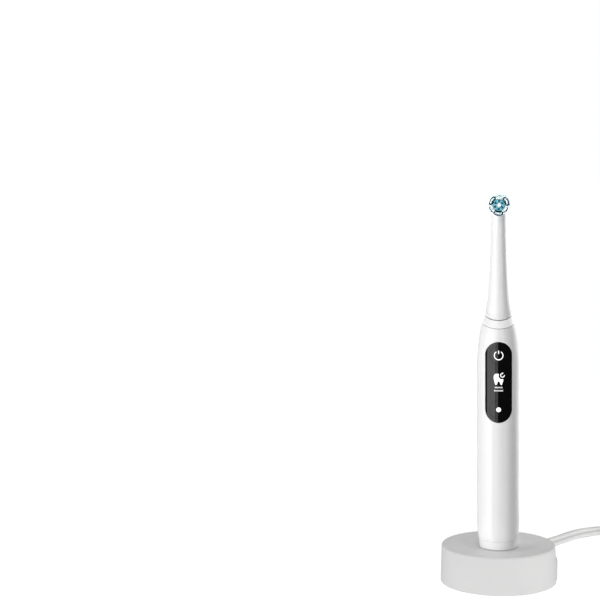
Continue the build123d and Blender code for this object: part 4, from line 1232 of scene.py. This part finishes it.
def plug_boot():
    """Ribbed sleeve that tapers from the plug to the lead."""
    low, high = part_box("plug_relief")
    middle = (low + high) / 2
    bm = bmesh.new()
    loops = []
    for rib in range(BOOT_RIBS):
        share = rib / (BOOT_RIBS - 1)
        start = high.y + (low.y - high.y) * (rib + BOOT_GAP) / BOOT_RIBS
        end = high.y + (low.y - high.y) * (rib + 1 - BOOT_GAP) / BOOT_RIBS
        width = BOOT_END_WIDTH + (high.x - low.x - BOOT_END_WIDTH) * share
        thickness = BOOT_END_THICKNESS + (high.z - low.z - BOOT_END_THICKNESS) * share
        for step, scale in enumerate(RIB_SHARES):
            along = start + (end - start) * step / (len(RIB_SHARES) - 1)
            loops.append(oval_ring(bm, Vector((middle.x, along, middle.z)), width * scale, thickness * scale))
    for first, second in zip(loops, loops[1:]):
        bmesh.ops.bridge_loops(bm, edges=first + second)
    close_up(bm)
    obj = finished("plug_boot", mesh_of(bm, "plug_boot"), 50.0)
    return settle(obj, "plug_relief", FINISHES["plug_grey"])


def plug_grips():
    """Row of low finger ribs on top of the plug."""
    low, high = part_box("plug_body")
    middle = (low + high) / 2
    bm = bmesh.new()
    for row in range(GRIP_COUNT):
        place = Matrix.Translation((middle.x, low.y + GRIP_START + GRIP_PITCH * row, high.z))
        bmesh.ops.create_cube(bm, size=1.0, matrix=place @ Matrix.Diagonal((*GRIP_SIZE, 1.0)))
    soften(bm, GRIP_ROUND, every_edge)
    return settle(finished("plug_grips", mesh_of(bm, "plug_grips"), 40.0), "plug_body", nodes=[])


def plug_face_rim():
    """Test for the edges round the plug's face, away from the pins."""
    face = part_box("plug_body")[0].y
    low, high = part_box("plug_pins")
    middle = (low + high) / 2
    pin = (high.z - low.z) / 2
    half = (high.x - low.x) / 2 - pin

    def on_rim(edge):
        return all(
            vert.co.y < face + 0.05 * MM
            and math.hypot(abs(vert.co.x - middle.x) - half, vert.co.z - middle.z) > 1.3 * pin
            for vert in edge.verts
        )
    return on_rim


def plug_pieces():
    return [
        dressed("plug_shell", "plug_body", [(PLUG_ROUND, plug_face_rim())]),
        plug_grips(),
        plug_boot(),
        dressed("plug_prongs", "plug_pins"),
        dressed("lead_tie", "cord_tie", [(TIE_ROUND, every_edge)]),
    ]


# Stage, light and camera


def stage_floor():
    """Pale glowing floor that neither lights the pieces nor shows in them."""
    bm = bmesh.new()
    bmesh.ops.create_circle(bm, cap_ends=True, segments=96, radius=FLOOR_RADIUS)
    obj = link("floor", mesh_of(bm, "floor"))
    obj.data.materials.append(Finish("pale floor", (0.8, 0.8, 0.8), 0.6).glow(FLOOR_GLOW).material)
    obj.visible_glossy = False
    obj.visible_diffuse = False


def soft_light(name, place, aim, size, watts, glossy=True, diffuse=True):
    """Soft box turned to its aim and hidden from the camera, and from mirrored or spread light if asked."""
    light = bpy.data.lights.new(name, "AREA")
    light.shape = "RECTANGLE"
    light.size, light.size_y = size
    light.energy = watts
    obj = link(name, light)
    obj.location = place
    obj.rotation_euler = (Vector(aim) - Vector(place)).to_track_quat("-Z", "Y").to_euler()
    obj.visible_camera = False
    obj.visible_glossy = glossy
    obj.visible_diffuse = diffuse
    return obj


def studio():
    """White surround with a strength of its own for light, for mirroring and for the picture's ground."""
    world = bpy.data.worlds.new("studio")
    world.use_nodes = True
    tree = world.node_tree
    surround = tree.nodes["Background"]
    surround.inputs["Color"].default_value = (1.0, 1.0, 1.0, 1.0)
    surround.inputs["Strength"].default_value = SURROUND_LIGHT
    last = surround.outputs["Background"]
    ray = tree.nodes.new("ShaderNodeLightPath")
    for kind, strength in (("Is Glossy Ray", SURROUND_MIRRORED), ("Is Camera Ray", SURROUND_SEEN)):
        seen = tree.nodes.new("ShaderNodeBackground")
        seen.inputs["Color"].default_value = (1.0, 1.0, 1.0, 1.0)
        seen.inputs["Strength"].default_value = strength
        mix = tree.nodes.new("ShaderNodeMixShader")
        tree.links.new(ray.outputs[kind], mix.inputs["Fac"])
        tree.links.new(last, mix.inputs[1])
        tree.links.new(seen.outputs["Background"], mix.inputs[2])
        last = mix.outputs["Shader"]
    tree.links.new(last, tree.nodes["World Output"].inputs["Surface"])
    bpy.context.scene.world = world
    bpy.context.scene.view_settings.view_transform = "Standard"


def around(turn, distance, height):
    """Place round the brush: its turn from the front to the right, its distance and its height."""
    angle = math.radians(turn)
    return (distance * math.sin(angle), -distance * math.cos(angle), height)


def group_of(name, pieces):
    group = bpy.data.collections.new(name)
    for piece in pieces:
        group.objects.link(piece)
    return group


def reach_only(lamps, pieces, shaders=None):
    """Lets lights fall on some pieces alone, shaded by all things or by these pieces and the shaders."""
    reached = group_of(lamps[0].name + " reach", pieces)
    for lamp in lamps:
        lamp.light_linking.receiver_collection = reached
    if shaders is not None:
        shading = group_of(lamps[0].name + " shade", pieces + shaders)
        for lamp in lamps:
            lamp.light_linking.blocker_collection = shading


def brush_lights(brush):
    """Key and fills for the brush, and strips at its sides that it only mirrors."""
    right, left = (0.0, 0.0, 0.35), (0.0, 0.0, 0.05)
    reach_only([
        soft_light("rim", around(130, 0.85, 0.45), BRUSH_AIM, (0.5, 0.9), 6.5, glossy=False),
        soft_light("back fill", around(180, 1.0, 0.3), BRUSH_AIM, (0.6, 0.9), 2.2, glossy=False),
        soft_light("key", around(-41, 1.0, 0.24), BRUSH_AIM, (0.92, 1.1), 11.7),
        soft_light("key edge", around(-9, 1.0, 0.24), BRUSH_AIM, (0.2, 1.1), 1.6),
        soft_light("right strip", around(135, 0.85, 0.35), right, (0.98, 1.4), 10.8, diffuse=False),
        soft_light("left strip", around(-138, 0.85, 0.05), left, (0.7, 0.8), 1.5, diffuse=False),
    ], brush)


def charger_lights(base):
    """Even ring of low light and one from above for what stands or lies on the floor."""
    washes = []
    for name, turn, watts in WASHES:
        place = around(turn, 0.8, -0.2)
        washes.append(soft_light(name, place, CHARGER_AIM, (1.2, 0.02), watts, glossy=False))
    overhead = soft_light("overhead", (0.0, 0.0, 0.7), CHARGER_AIM, (1.4, 1.4), 5.7, glossy=False)
    reach_only([*washes, overhead], base, [bpy.data.objects["handle_foot"]])


def detail_lights(tufts, lead, pins):
    """Small lights for single pieces, and a bounce from the floor."""
    head_light = soft_light("head light", around(-8, 0.8, 0.3), HEAD_AIM, (0.25, 0.25), 10.3, glossy=False)
    reach_only([head_light], tufts)
    reach_only([soft_light("lead wash", around(30, 0.9, 0.08), LEAD_AIM, (0.4, 0.12), 0.8)], [lead])
    reach_only([soft_light("pin light", (0.1, 0.0, 0.7), PIN_AIM, (1.8, 1.8), 14.0)], [pins])
    soft_light("bounce", (0.0, 0.0, 0.0003), (0.0, 0.0, 1.0), (2.0, 2.0), 3.0, glossy=False)


def lights(base, lead):
    brush = [
        obj for obj in bpy.context.scene.objects
        if obj.type == "MESH" and obj not in base and obj.name != "floor"
    ]
    brush_lights(brush)
    charger_lights(base)
    detail_lights([obj for obj in brush if "bristle" in obj.name], lead, bpy.data.objects["plug_prongs"])


def camera():
    data = bpy.data.cameras.new("camera")
    data.sensor_width = SENSOR_WIDTH
    data.lens = SENSOR_WIDTH * CAMERA_FOCUS / PICTURE_WIDTH
    obj = link("camera", data)
    turn = Matrix.Rotation(math.radians(CAMERA_PAN), 4, "Z")
    turn @= Matrix.Rotation(math.radians(90 + CAMERA_TILT), 4, "X")
    turn @= Matrix.Rotation(math.radians(CAMERA_ROLL), 4, "Z")
    obj.matrix_world = Matrix.Translation(CAMERA_PLACE) @ turn
    bpy.context.scene.camera = obj


random.seed(7)
paint_nodes()
stage_floor()
camera()
charger = charger_pieces()
handle_pieces()
drive_springs()
signs()
brush_head_pieces()
on_lead = plug_pieces()
lead, lead_path = mains_lead()
studio()
lights(charger + on_lead + [lead], lead)
